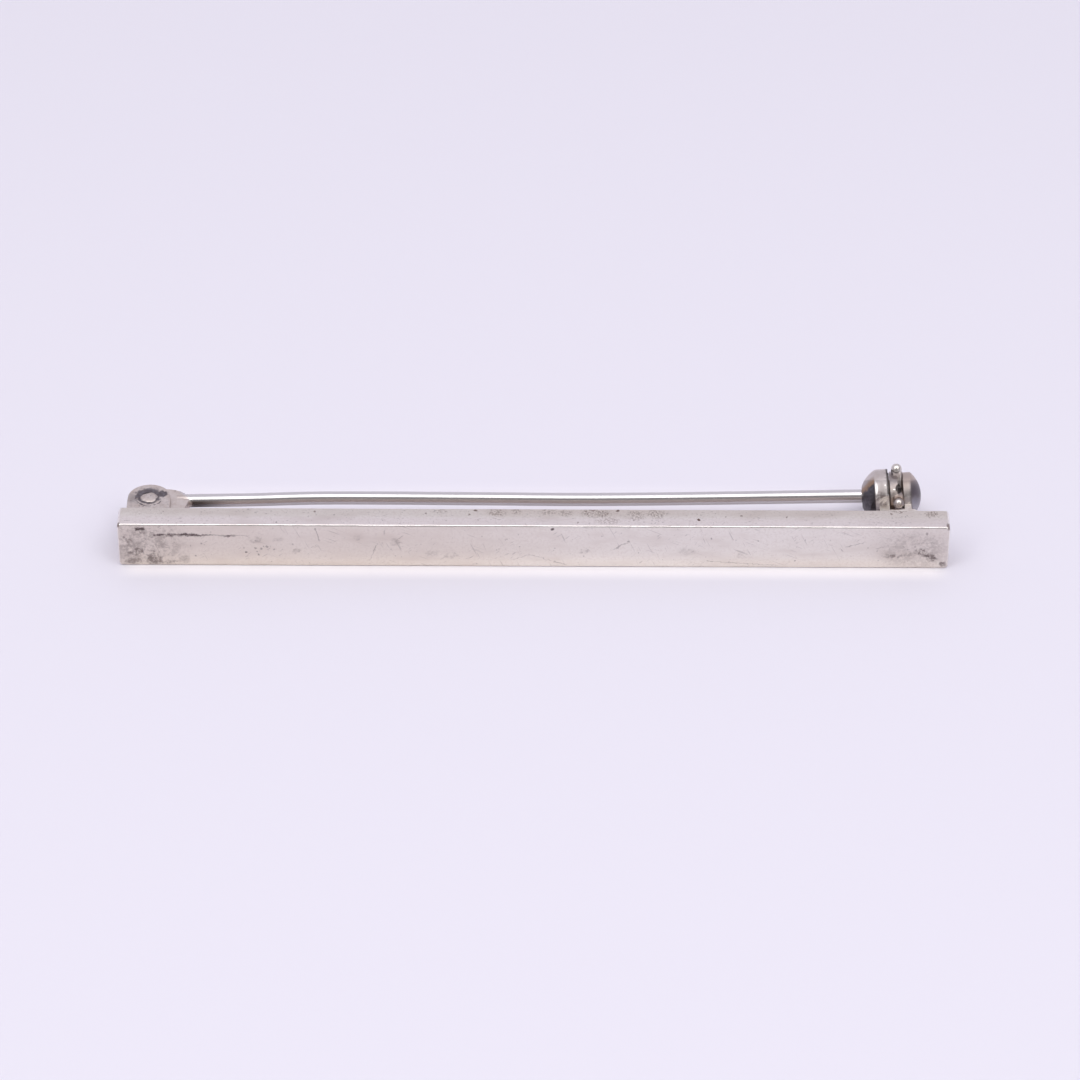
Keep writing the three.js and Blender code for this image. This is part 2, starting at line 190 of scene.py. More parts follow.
# Quarter turns
STANDING = Matrix.Rotation(math.radians(90), 4, "X")
LYING = Matrix.Rotation(math.radians(-90), 4, "X")
CROSSWISE = Matrix.Rotation(math.radians(90), 4, "Y")

# Photograph's camera: its angle, its distance, and where its axis passes the front face's lower edge
CAMERA_ELEVATION = 38
CAMERA_TURN = 0.658
CAMERA_ROLL = 0.172
CAMERA_DISTANCE = 330
AIM_RIGHT = 0.472
AIM_UP = 1.873
CAMERA_LENS = 157.11


# Shapes

def bevel(bm, parts, width, steps, affect="EDGES"):
    bmesh.ops.bevel(bm, geom=parts, offset=width, offset_type="OFFSET", segments=steps, profile=0.5,
                    affect=affect, clamp_overlap=True, material=-1)


def plate(corners, thickness, turn=None):
    """A plate centred on its thickness, from (x, y, corner radius) triples, turned by a matrix."""
    bm = bmesh.new()
    verts = [bm.verts.new((x, y, -thickness / 2)) for x, y, _ in corners]
    bm.faces.new(verts)
    for vert, (_, _, radius) in zip(verts, corners):
        if radius:
            bevel(bm, [vert], radius, CORNER_STEPS, "VERTICES")
    grown = bmesh.ops.extrude_face_region(bm, geom=bm.faces[:])["geom"]
    raised = [part for part in grown if isinstance(part, bmesh.types.BMVert)]
    bmesh.ops.translate(bm, vec=(0, 0, thickness), verts=raised)
    bmesh.ops.recalc_face_normals(bm, faces=bm.faces)
    if turn:
        bmesh.ops.transform(bm, matrix=turn, verts=bm.verts)
    return bm


def rectangle(half_x, half_y, radius):
    """A plate's four corners."""
    places = ((-half_x, -half_y), (half_x, -half_y), (half_x, half_y), (-half_x, half_y))
    return [(x, y, radius) for x, y in places]


def block(low, high):
    bm = bmesh.new()
    bmesh.ops.create_cube(bm, size=1)
    low, high = Vector(low), Vector(high)
    bmesh.ops.scale(bm, vec=high - low, verts=bm.verts)
    bmesh.ops.translate(bm, vec=(low + high) / 2, verts=bm.verts)
    return bm


def turned(profile, closed=False, turn=None):
    """A revolve about X from (station, radius) pairs, turned by a matrix."""
    bm = bmesh.new()
    verts = [bm.verts.new((station, radius, 0)) for station, radius in profile]
    ends = verts[1:] + verts[:1] if closed else verts[1:]
    edges = [bm.edges.new(pair) for pair in zip(verts, ends)]
    bmesh.ops.spin(bm, geom=verts + edges, cent=(0, 0, 0), axis=(1, 0, 0), dvec=(0, 0, 0),
                   angle=math.tau, steps=TURN_STEPS, use_merge=True)
    bmesh.ops.remove_doubles(bm, verts=bm.verts, dist=WELD)
    bmesh.ops.recalc_face_normals(bm, faces=bm.faces)
    if turn:
        bmesh.ops.transform(bm, matrix=turn, verts=bm.verts)
    return bm


def rod(radius, start, end, turn=None):
    return turned([(start, 0), (start, radius), (end, radius), (end, 0)], turn=turn)


def combine(shape, tool, operation):
    """Joins a second closed shape to the first, or cuts it away."""
    things = []
    for bm in (shape, tool):
        mesh = bpy.data.meshes.new("step")
        bm.to_mesh(mesh)
        bm.free()
        thing = bpy.data.objects.new("step", mesh)
        SCENE.collection.objects.link(thing)
        things.append(thing)
    step = things[0].modifiers.new("step", "BOOLEAN")
    step.operation = operation
    step.solver = "EXACT"
    step.object = things[1]
    made = bmesh.new()
    made.from_object(things[0], bpy.context.evaluated_depsgraph_get())
    for thing in things:
        mesh = thing.data
        bpy.data.objects.remove(thing)
        bpy.data.meshes.remove(mesh)
    bmesh.ops.remove_doubles(made, verts=made.verts, dist=WELD)
    bmesh.ops.dissolve_degenerate(made, edges=made.edges, dist=WELD)
    return made


def join(shape, tool):
    return combine(shape, tool, "UNION")


def cut(shape, tool):
    return combine(shape, tool, "DIFFERENCE")


def soften(bm, width, steps=3):
    """Rounds every sharp rim a little."""
    limit = math.radians(SHARP_ANGLE)
    rims = [edge for edge in bm.edges if edge.is_manifold and edge.calc_face_angle(0) > limit]
    bevel(bm, rims, width, steps)
    return bm


def roughen(bm, depth, per_mm, shift):
    """Moves every point along its normal by a little noise."""
    bm.normal_update()
    for vert in bm.verts:
        vert.co += vert.normal * depth * noise.noise(vert.co * per_mm + Vector(shift))
    return bm


def smooth_through(pairs, place):
    """Height of a smooth curve through (place, height) pairs."""
    last = len(pairs) - 1
    i = max(k for k in range(last) if k == 0 or pairs[k][0] <= place)

    def slope(k):
        before, after = pairs[max(k - 1, 0)], pairs[min(k + 1, last)]
        return (after[1] - before[1]) / (after[0] - before[0])

    (x0, y0), (x1, y1) = pairs[i], pairs[i + 1]
    span = x1 - x0
    t = (place - x0) / span
    rise = (2 * t**3 - 3 * t**2 + 1) * y0 + (3 * t**2 - 2 * t**3) * y1
    return rise + span * ((t**3 - 2 * t**2 + t) * slope(i) + (t**3 - t**2) * slope(i + 1))


def show(name, bm, middle, finish, body, node=None, turn=None):
    """Sets a shape given in millimetres about a point into the frame, as a piece of one body."""
    if turn:
        bmesh.ops.transform(bm, matrix=turn, verts=bm.verts)
    bmesh.ops.scale(bm, vec=(MM, MM, MM), verts=bm.verts)
    bmesh.ops.translate(bm, vec=middle, verts=bm.verts)
    mesh = bpy.data.meshes.new(name)
    bm.to_mesh(mesh)
    bm.free()
    mesh.materials.append(finish)
    mesh.shade_smooth()
    mesh.set_sharp_from_angle(angle=math.radians(SHARP_ANGLE))
    piece = bpy.data.objects.new(name, mesh)
    SCENE.collection.objects.link(piece)
    even = piece.modifiers.new("even_shading", "WEIGHTED_NORMAL")
    even.keep_sharp = True
    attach(piece, body)
    if node:
        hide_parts(node)


# Finishes

# How far the noise that makes small marks and large stains uneven moves their outline
SHAKE = 0.4
TEAR = 0.85


class Signal:
    """A shader socket that takes part in Python arithmetic by adding Math nodes."""

    def __init__(self, nodes, socket):
        self.nodes = nodes
        self.socket = socket

    def math(self, operation, first, second):
        return self.nodes.node("ShaderNodeMath", {"operation": operation}, {0: first, 1: second})

    def __add__(self, other):
        return self.math("ADD", self, other)

    def __sub__(self, other):
        return self.math("SUBTRACT", self, other)

    def __rsub__(self, other):
        return self.math("SUBTRACT", other, self)

    def __mul__(self, other):
        return self.math("MULTIPLY", self, other)

    def __or__(self, other):
        """Either of two masks."""
        return self.math("MAXIMUM", self, other)

    def __abs__(self):
        return self.nodes.node("ShaderNodeMath", {"operation": "ABSOLUTE"}, {0: self})

    __radd__ = __add__
    __rmul__ = __mul__


class Nodes:
    """The shader nodes of one finish, or of the room."""

    def __init__(self, tree):
        self.tree = tree

    def node(self, kind, settings=None, sockets=None, output=0):
        made = self.tree.nodes.new(kind)
        for name, value in (settings or {}).items():
            setattr(made, name, value)
        for name, value in (sockets or {}).items():
            self.feed(made.inputs[name], value)
        return Signal(self, made.outputs[output])

    def vector(self, operation, first, second=None, output=0):
        """One step of vector arithmetic, where the second value of a SCALE is a number."""
        sockets = {0: first}
        if second is not None:
            sockets["Scale" if operation == "SCALE" else 1] = second
        return self.node("ShaderNodeVectorMath", {"operation": operation}, sockets, output)

    def feed(self, socket, value):
        if isinstance(value, Signal):
            self.tree.links.new(value.socket, socket)
        else:
            socket.default_value = value

    def step(self, value, low, high):
        """0 below low and 1 above high, smooth between, or the other way where low is the higher."""
        sockets = {"Value": value, "From Min": low, "From Max": high}
        return self.node("ShaderNodeMapRange", {"interpolation_type": "SMOOTHSTEP"}, sockets)

    def mix(self, factor, first, second):
        settings = {"data_type": "RGBA", "clamp_factor": True}
        return self.node("ShaderNodeMix", settings, {0: factor, 6: first, 7: second}, 2)


class Finish(Nodes):
    """One finish, and the patterns that feed its shader."""

    def __init__(self, name):
        self.material = bpy.data.materials.new(name)
        self.material.use_nodes = True
        super().__init__(self.material.node_tree)
        self.shader = self.tree.nodes["Principled BSDF"]
        self.shader.inputs["Metallic"].default_value = 1
        metres = self.node("ShaderNodeTexCoord", output="Object")
        self.place = self.vector("SCALE", metres, 1 / MM)
        self.shaken = self.shake(4, SHAKE)
        self.torn = self.shake(1.8, TEAR)

    def shake(self, per_mm, reach):
        """Places moved about by noise with so many features to a millimetre."""
        sockets = {"Vector": self.place, "Scale": per_mm, "Detail": 4, "Roughness": 0.75}
        move = self.node("ShaderNodeTexNoise", {}, sockets, "Color")
        move = self.vector("SUBTRACT", move, (0.5, 0.5, 0.5))
        move = self.vector("SCALE", move, reach)
        return self.vector("ADD", self.place, move)

    def axis(self, letter):
        return self.node("ShaderNodeSeparateXYZ", {}, {0: self.place}, letter)

    def mottle(self, per_mm, detail=4, rough=0.6, stretch=(1, 1, 1), turn=(0, 0, 0), shift=(0, 0, 0)):
        """Soft noise with so many features to a millimetre, drawn out by stretch along turned axes."""
        turn = tuple(math.radians(angle) for angle in turn)
        sockets = {"Vector": self.place, "Location": shift, "Rotation": turn, "Scale": stretch}
        place = self.node("ShaderNodeMapping", {"vector_type": "TEXTURE"}, sockets)
        sockets = {"Vector": place, "Scale": per_mm, "Detail": detail, "Roughness": rough}
        return self.node("ShaderNodeTexNoise", {}, sockets)

    def near(self, middle, radius, squeeze=(1, 1, 1), place=None):
        """1 at a place and 0 at an uneven radius from it, which squeeze shortens along an axis."""
        away = self.vector("SUBTRACT", place or self.shaken, middle)
        away = self.vector("MULTIPLY", away, squeeze)
        return self.step(self.vector("LENGTH", away, output="Value"), radius, 0)

    def patch(self, along, rise, middle, radius, tall=1):
        """1 at a place given by two coordinates and 0 at a radius from it, drawn out upward by tall."""
        away, up = along - middle[0], (rise - middle[1]) * (1 / tall)
        return self.step(away * away + up * up, radius**2, 0)

    def dot(self, middle, radius, dark):
        """A small solid mark."""
        return self.step(self.near(middle, radius * 1.5), 0.2, 0.65) * dark

    def smudge(self, middle, radius, squeeze, texture, dark):
        """A soft stain broken up by a texture."""
        return self.step(self.near(middle, radius * 1.7, squeeze, self.torn), 0, 0.75) * texture * dark

    def stroke(self, start, end, width, wave):
        """A line between two places on the front, which wave moves aside."""
        run = (end - start).normalized()
        away = self.vector("SUBTRACT", self.shaken, start)
        along = self.vector("DOT_PRODUCT", away, run, "Value")
        aside = self.vector("DOT_PRODUCT", away, (-run.z, 0, run.x), "Value")
        reach = (end - start).length
        within = self.step(along, 0, 0.2) * self.step(along, reach, reach - 0.3)
        return self.step(abs(aside + wave), width, width / 4) * within

    def radius_from(self, axis):
        """Distance from an upright axis."""
        away = self.vector("SUBTRACT", self.place, axis)
        away = self.vector("MULTIPLY", away, (1, 1, 0))
        return self.vector("LENGTH", away, output="Value")

    def ring(self, axis, radius, width, wander):
        """A thin uneven circle about an upright axis."""
        off = self.radius_from(axis) - radius + (wander - 0.5) * 0.25
        return self.step(abs(off), width, width / 3)

    def specks(self, per_mm, size, share):
        """Small round spots of a share of the cells that the surface is split into."""
        sockets = {"Vector": self.place, "Scale": per_mm}
        spot = self.node("ShaderNodeTexVoronoi", {}, sockets, "Distance")
        cell = self.node("ShaderNodeTexVoronoi", {}, sockets, "Color")
        pick = self.node("ShaderNodeSeparateColor", {}, {0: cell}, "Red")
        return self.step(spot, size, size / 3) * self.step(pick, share + 0.02, share)

    def scratches(self, turn, fineness, least):
        """Fine straight lines, near one direction."""
        line = self.mottle(fineness, 2, 0.4, (26, 1, 1), turn)
        broken = self.mottle(0.5, 2, 0.5, shift=turn)
        return self.step(line, least, least + 0.05) * self.step(broken, 0.48, 0.6)

    def filmed(self, blotch, share, colour):
        """A colour under a patchy brown film."""
        return self.mix(self.step(blotch, 0.35, 0.7) * share, colour, BROWN_FILM)

    def dress(self, colour, roughness, relief, depth):
        """Feeds the shader; relief is a height of 0 to 1 and depth its size in millimetres."""
        self.feed(self.shader.inputs["Base Color"], colour)
        self.feed(self.shader.inputs["Roughness"], roughness)
        bump = self.node("ShaderNodeBump", {}, {"Strength": 1, "Distance": depth * MM, "Height": relief})
        self.feed(self.shader.inputs["Normal"], bump)
        return self.material


# Colours of the metal, its films and its dirt, with a near black for dirt and painted shade, a painted
# shade for the wire's underside and a painted floor reflection
CLEAN_SILVER = (0.875, 0.83, 0.775, 1)
WARM_SILVER = (0.76, 0.68, 0.6, 1)
PALE_SILVER = (0.95, 0.92, 0.89, 1)
TOP_SILVER = (0.93, 0.85, 0.845, 1)
DULL_SILVER = (0.72, 0.655, 0.625, 1)
WORN_SILVER = (0.66, 0.605, 0.585, 1)
GREY_SILVER = (0.4, 0.365, 0.36, 1)
PAINTED_FLOOR_REFLECTION = (0.74, 0.73, 0.77, 1)
BROWN_FILM = (0.50, 0.40, 0.34, 1)
RUST_FILM = (0.34, 0.22, 0.14, 1)
DARK_RUST = (0.17, 0.11, 0.09, 1)
STAIN = (0.2, 0.16, 0.155, 1)
TARNISH = (0.17, 0.14, 0.135, 1)
DARK_TARNISH = (0.09, 0.075, 0.09, 1)
BLUE_TARNISH = (0.22, 0.21, 0.24, 1)
# Near black for dirt and tarnish, and also painted shade in the slot's gap, the rotor's hollow and under
# the wire's root
DIRT_AND_SHADE = (0.04, 0.035, 0.035, 1)
WIRE_STEEL = (0.74, 0.72, 0.72, 1)
WIRE_SHADE = (0.33, 0.3, 0.295, 1)

# Small marks on the front, as x, z and radius with a darkness of 0 to 1
FRONT_DOTS = [
    (1.33, 3.34, 0.16, 1.0), (-20.07, 1.2, 0.12, 0.8), (-20.2, 1.53, 0.07, 0.5), (-19.4, 1.55, 0.1, 0.5),
    (-19.3, 1.25, 0.09, 0.5), (-19.0, 1.5, 0.1, 0.5), (-18.85, 1.72, 0.08, 0.5), (-19.2, 0.95, 0.09, 0.6),
    (-18.6, 1.7, 0.11, 0.5), (-18.1, 1.45, 0.1, 0.4), (-16.8, 1.9, 0.09, 0.4), (-23.2, 1.95, 0.07, 0.5),
    (-23.65, 0.85, 0.09, 0.5), (-15.2, 3.25, 0.09, 0.5), (-1.95, 2.4, 0.08, 0.45), (-0.95, 1.8, 0.08, 0.45),
    (1.5, 1.65, 0.09, 0.45), (12.4, 2.55, 0.08, 0.5), (15.7, 2.35, 0.08, 0.4), (18.3, 0.65, 0.08, 0.5),
    (24.0, 1.5, 0.07, 0.6), (25.8, 1.9, 0.08, 0.5), (26.6, 1.9, 0.1, 0.5), (27.4, 3.05, 0.14, 0.5),
    (6.65, 2.25, 0.1, 0.5), (-3.6, 2.7, 0.08, 0.4),
]
# Smudges on the front, as x, z, half length, half height and darkness
FRONT_SMUDGES = [
    (-27.2, 1.9, 2.6, 1.9, 0.45), (-28.35, 2.5, 0.35, 0.7, 0.8), (-28.4, 1.7, 0.35, 0.6, 0.55),
    (-27.5, 2.86, 0.7, 0.2, 0.6), (-27.7, 1.25, 0.9, 0.35, 0.8), (-28.0, 0.48, 0.7, 0.3, 0.7),
    (-26.5, 0.75, 0.7, 0.65, 0.8), (-25.8, 1.65, 1.1, 0.45, 0.5), (-25.6, 1.0, 0.45, 0.2, 0.5),
    (-25.9, 0.33, 1.2, 0.12, 0.6), (-19.35, 2.35, 0.45, 0.35, 0.3), (-24.4, 0.6, 0.5, 0.3, 0.35),
    (-16.5, 1.35, 0.28, 0.2, 0.3), (-17.8, 2.3, 0.25, 0.25, 0.24), (-12.2, 2.65, 0.3, 0.2, 0.32),
    (-9.67, 2.2, 0.35, 0.35, 0.26), (-7.17, 1.15, 0.45, 0.3, 0.28), (-5.7, 1.0, 0.45, 0.3, 0.28),
    (3.55, 1.42, 0.28, 0.22, 0.5), (10.7, 1.4, 0.6, 0.35, 0.22), (14.57, 1.0, 0.35, 0.25, 0.25),
    (26.6, 1.6, 2.4, 1.5, 0.3), (24.7, 1.1, 0.25, 0.25, 0.65), (25.35, 1.08, 0.45, 0.2, 0.75),
    (26.2, 1.2, 0.4, 0.3, 0.5), (27.0, 1.5, 0.5, 0.32, 0.9), (27.4, 1.2, 0.5, 0.32, 0.95),
    (27.75, 0.9, 0.45, 0.3, 0.9), (28.57, 0.35, 0.3, 0.25, 0.9),
]
# Scratches on the front, as two ends in x and z, width, wander and darkness
FRONT_LINES = [
    (-27.85, 3.2, -26.95, 3.23, 0.2, 0.05, 1.3), (-26.6, 2.64, -24.8, 2.68, 0.15, 0.45, 1.1),
    (-25.3, 2.72, -23.2, 2.74, 0.16, 0.4, 1.1), (-23.6, 2.72, -22.3, 2.72, 0.09, 0.3, 0.9),
    (-22.6, 2.7, -21.3, 2.66, 0.07, 0.2, 0.7), (-21.85, 2.64, -20.7, 2.62, 0.13, 0.25, 0.95),
    (-21.0, 2.64, -19.7, 2.68, 0.05, 0.2, 0.4),
    (-26.8, 2.92, -26.2, 2.9, 0.08, 0.1, 0.7), (-28.1, 2.25, -27.2, 2.28, 0.06, 0.1, 0.45),
    (-10.33, 3.3, -10.4, 2.7, 0.05, 0.2, 0.5), (-10.86, 2.1, -11.5, 0.4, 0.035, 0.2, 0.5),
    (-9.75, 2.1, -9.0, 2.8, 0.05, 0.3, 0.5), (-9.7, 2.25, -9.0, 2.0, 0.045, 0.2, 0.45),
    (5.5, 1.5, 6.75, 2.3, 0.065, 0.25, 0.5), (1.35, 0.5, 2.4, 0.2, 0.05, 0.1, 0.65),
    (12.0, 0.6, 17.2, 0.18, 0.035, 0.2, 0.5), (21.7, 1.8, 23.2, 2.32, 0.045, 0.2, 0.55),
    (23.8, 1.72, 24.6, 1.92, 0.045, 0.2, 0.5), (21.3, 1.8, 21.8, 1.37, 0.05, 0.2, 0.45),
    (26.7, 2.2, 28.2, 2.28, 0.055, 0.15, 0.5), (-15.2, 3.3, -14.9, 2.1, 0.05, 0.3, 0.5),
    (-1.6, 0.6, -0.2, 1.1, 0.03, 0.3, 0.4), (-0.4, 1.15, 1.4, 0.5, 0.03, 0.3, 0.4),
]
# Small marks on the top, as x, y and radius with a darkness of 0 to 1
TOP_DOTS = [
    (11.53, -0.2, 0.14, 1.0), (-4.07, 0.75, 0.14, 0.9), (-4.5, 0.3, 0.1, 0.6), (5.9, 0.8, 0.14, 0.9),
    (5.7, -0.25, 0.09, 0.6), (3.1, -0.6, 0.09, 0.6), (-7.5, 0.4, 0.1, 0.7), (-15.28, 0.55, 0.1, 0.7),
    (17.65, 0.15, 0.1, 0.7), (14.5, 0.25, 0.1, 0.7), (25.0, 0.55, 0.12, 0.8), (12.7, 0.5, 0.08, 0.5),
    (13.4, 0.1, 0.08, 0.5), (-28.95, -0.9, 0.19, 0.9), (28.9, -0.85, 0.19, 0.8), (7.0, -0.3, 0.08, 0.5),
]
# Crusts of specks on the top, as x, y, half length, half width and darkness, all toned down by one share
CRUST_STRENGTH = 0.8
TOP_CRUSTS = [
    (-2.6, 0.55, 0.65, 0.4, 0.75), (-1.2, 0.6, 0.35, 0.35, 0.75), (1.1, 0.6, 0.5, 0.35, 0.6),
    (2.25, 0.5, 0.5, 0.35, 0.55), (4.4, 0.5, 1.0, 0.5, 0.85), (7.1, 0.3, 0.6, 0.5, 0.65),
    (8.6, 0.45, 0.65, 0.45, 0.7), (5.2, -0.35, 0.8, 0.35, 0.5), (-26.5, 0.5, 2.0, 0.5, 0.12),
    (27.8, 0.5, 0.45, 0.35, 0.75), (25.5, 0.9, 0.55, 0.25, 0.75), (-6.4, 0.55, 0.4, 0.25, 0.5),
]
# Soft smudges on the catch's bands, as along, rise, radius, tallness and darkness
BAND_SMUDGES = [(1.2, -0.35, 0.3, 1, 0.3), (-0.6, 0.45, 0.3, 2, 0.55), (1.05, 0.4, 0.4, 1.5, 0.3)]


def front_marks(f, texture, broken, wander):
    """All that is listed for the front, as one mask."""
    y = BAR_LOW.y
    marks = 0
    for x, z, length, tall, dark in FRONT_SMUDGES:
        marks = f.smudge((x, y, z), length, (1, 1, length / tall), texture, dark) | marks
    for x, z, radius, dark in FRONT_DOTS:
        marks = marks | f.dot((x, y, z), radius, dark)
    for x, z, end_x, end_z, width, wave, dark in FRONT_LINES:
        line = f.stroke(Vector((x, y, z)), Vector((end_x, y, end_z)), width, (wander - 0.5) * wave)
        marks = marks | line * dark * broken
    return marks


def top_marks(f, crumbs):
    """All that is listed for the top, as one mask."""
    z = BAR_HIGH.z
    marks = 0
    for x, y, length, width, dark in TOP_CRUSTS:
        marks = f.smudge((x, y, z), length, (1, length / width, 1), crumbs, dark * CRUST_STRENGTH) | marks
    for x, y, radius, dark in TOP_DOTS:
        marks = marks | f.dot((x, y, z), radius, dark)
    return marks


def bar_finish():
    """Satin silver, smudged at its ends, with brown film and specks along the back of its top, a back face
    darkened with the film as painted shade, and pale worn edges painted brighter as a highlight.
    """
    f = Finish("satin_silver")
    cloud = f.mottle(0.16, 3, 0.5)
    grain = f.mottle(6, 6, 0.75)
    blotch = f.mottle(1.6, 6, 0.7)
    fine = f.mottle(5, 5, 0.7, shift=(3, 8, 6))
    smear = f.mottle(0.9, 4, 0.6, (3, 1, 1), shift=(4, 0, 2))
    wander = f.mottle(1.4, 3, 0.6, shift=(9, 5, 3))
    height, depth, along = f.axis("Z"), f.axis("Y"), f.axis("X")
    top = f.step(height, BAR_HIGH.z - 0.1, BAR_HIGH.z - 0.02)
    front = f.step(depth, BAR_LOW.y + 0.06, BAR_LOW.y + 0.02)
    back = f.step(depth, BAR_HIGH.y - 0.06, BAR_HIGH.y - 0.02)
    edge = f.node("ShaderNodeAttribute", {"attribute_name": "edge"}, {}, "Fac")
    # Edges worn pale, and painted paler still as a painted highlight along them
    rubbed_and_highlight = f.step(edge, 0.2, 0.7)
    crumbs = f.step(f.mottle(8, 4, 0.7, shift=(2, 7, 1)), 0.46, 0.57)
    broken = 0.5 + 0.5 * f.step(blotch, 0.38, 0.54)
    texture = 0.15 + 0.85 * f.step(blotch * 0.6 + fine * 0.4, 0.42, 0.58)
    marks = front_marks(f, texture, broken, wander) * front
    marks = marks | top_marks(f, crumbs) * top
    dust = f.step(f.mottle(4.5, 3, 0.6, shift=(8, 3, 5)), 0.64, 0.71)
    dust = dust * f.step(f.mottle(0.5, 2, 0.5, shift=(1, 6, 4)), 0.42, 0.6)
    specks = f.specks(1.5, 0.11, 0.3) * 0.45 | dust * 0.5
    lines = f.scratches((0, 24, 0), 9, 0.65) | f.scratches((0, -37, 8), 12, 0.66)
    lines = lines | f.scratches((0, 66, 3), 12, 0.66)
    top_back = top * f.step(depth + (smear - 0.5) * 1.2 + (fine - 0.5) * 0.4, -0.35, 0.5)
    brown = f.step(along + (cloud - 0.5) * 10, -6, -2) * f.step(along, 14, 8)
    film = top_back * (0.3 + 0.4 * brown | f.step(along, 8, 14) * 0.5)
    warm = f.step(along + (cloud - 0.5) * 40, 16, -22)
    colour = f.mix(warm * 0.75 * (1 - top), CLEAN_SILVER, WARM_SILVER)
    colour = f.mix(top * f.step(depth, 0.3, -0.4) * 0.6, colour, TOP_SILVER)
    colour = f.mix(f.step(smear, 0.4, 0.75) * 0.26 | f.step(fine, 0.42, 0.7) * 0.24, colour, BROWN_FILM)
    low_right = f.step(along, 4, 16) * f.step(height, 1.4, 0.4)
    dulled = low_right * 0.16 | f.step(along, 19, 27) * 0.2
    # The back face takes the brown film as painted shade as well as film, and the wire mirrors it
    colour = f.mix(film * 0.45 | back * 0.6 | dulled * (1 - top * 0.5), colour, BROWN_FILM)
    colour = f.mix((specks | lines * 0.35) * (1 - rubbed_and_highlight), colour, TARNISH)
    colour = f.mix(marks * (1 - rubbed_and_highlight), colour, f.mix(top, STAIN, DARK_RUST))
    colour = f.mix(rubbed_and_highlight * 0.8, colour, PALE_SILVER)
    corners = f.near((BAR_HIGH.x - 0.03, BAR_LOW.y + 0.25, BAR_HIGH.z), 0.55, (1.5, 1, 1))
    corners = corners | f.near((BAR_LOW.x, BAR_LOW.y + 0.1, BAR_HIGH.z - 0.1), 0.35)
    colour = f.mix(f.step(corners, 0.15, 0.6) * 0.7, colour, DARK_RUST)
    roughness = 0.28 + grain * 0.14 + marks * 0.3 + film * 0.08 - rubbed_and_highlight * 0.13
    relief = grain * 0.5 + blotch * 0.4 - lines * 0.4 - specks * 0.5
    return f.dress(colour, roughness, relief, 0.004)


def hinge_finish():
    """Dull silver, smudged dark round the rivet's head."""
    f = Finish("dull_silver")
    rivet = RIVET / MM
    grain = f.mottle(6, 6, 0.7)
    blotch = f.mottle(1.8, 5, 0.65, shift=(3, 1, 2))
    fine = f.mottle(4.5, 5, 0.65, shift=(6, 2, 4))
    wander = f.mottle(2.2, 3, 0.6, shift=(9, 5, 3))
    flat = (1, 1, 0)
    behind = f.axis("Y") - rivet.y
    smudge = f.near((rivet.x - 0.1, rivet.y + 0.14, 0), 1.6, flat) + (fine - 0.5) * 0.8
    bare = f.ring(rivet, 0.84, 0.09, wander) * f.step(behind, -0.15, -0.4) * 0.75
    smudge = f.step(smudge, 0.25, 0.55) * (1 - bare)
    side = f.near((rivet.x - 1.1, rivet.y - 0.1, 0), 0.9, flat) * 0.45
    lobe = f.near((rivet.x + 0.9, rivet.y + 0.42, 0), 0.6, flat) + (fine - 0.5) * 0.9
    smudge = smudge | f.step(lobe, 0.2, 0.5)
    groove = f.ring(rivet, 0.66, 0.13, wander) * (0.5 + 0.5 * f.step(fine, 0.4, 0.55))
    groove = groove | f.ring(rivet, 0.95, 0.06, wander) * f.step(blotch, 0.4, 0.55)
    head = f.step(f.radius_from(rivet) + (wander - 0.5) * 0.3, 0.62, 0.5)
    dirt = (smudge * 0.9 | groove * 0.9 | side) * (1 - head)
    crumbs = f.specks(4, 0.3, 0.6) * f.step(behind, -0.2, -0.45)
    specks = f.specks(2.4, 0.2, 0.4) | f.specks(4.5, 0.2, 0.3) * 0.6 | crumbs * 1.3
    colour = f.filmed(blotch, 0.45, DULL_SILVER)
    colour = f.mix(f.step(fine, 0.42, 0.7) * 0.25 | specks * 0.6, colour, TARNISH)
    colour = f.mix(dirt, colour, f.mix(f.step(fine, 0.4, 0.75), DARK_TARNISH, BLUE_TARNISH))
    relief = grain * 0.6 + blotch * 0.6 - dirt * 0.5
    return f.dress(colour, 0.36 + grain * 0.2 + dirt * 0.2, relief, 0.01)


def wire_finish():
    """Hard drawn wire, bright, with fine lines along it and a dull tongue, and painted shade on its
    underside that is darkest by the tongue.
    """
    f = Finish("drawn_wire")
    tongue_end = RIVET.x / MM + TONGUE_LENGTH
    drawn = f.mottle(9, 3, 0.5, (50, 1, 1))
    grain = f.mottle(5, 6, 0.7)
    blotch = f.mottle(1.8, 5, 0.65, shift=(3, 1, 2))
    rivet = RIVET / MM
    along, rise = f.axis("X"), f.axis("Z") - rivet.z
    slant = along + (f.axis("Y") - rivet.y - WIRE_OFFSET) * 0.8 + (blotch - 0.5) * 0.9
    tongue = f.step(slant, tongue_end - 0.1, tongue_end - 0.45)
    # Painted shade on the wire's underside, and darker painted shade near the tongue, where the wire lies
    # close above the bar
    under = f.step(rise, 0.08, -0.18)
    root = f.step(along, tongue_end + 3.5, tongue_end + 0.3) * f.step(rise, 0.33, 0.2)
    specks = f.specks(2.4, 0.2, 0.4) * tongue | f.specks(0.9, 0.12, 0.25) * 0.5
    colour = f.mix(under * 0.7, WIRE_STEEL, WIRE_SHADE)
    colour = f.mix(root * 0.85, colour, DIRT_AND_SHADE)
    colour = f.mix(tongue, colour, DULL_SILVER)
    colour = f.filmed(blotch, tongue * 0.5, colour)
    colour = f.mix(specks * 0.6, colour, TARNISH)
    roughness = 0.17 + drawn * 0.06 + tongue * (0.2 + grain * 0.2) + specks * 0.15
    return f.dress(colour, roughness, drawn * 0.15 + tongue * (grain * 0.6 + blotch * 0.5), 0.008)


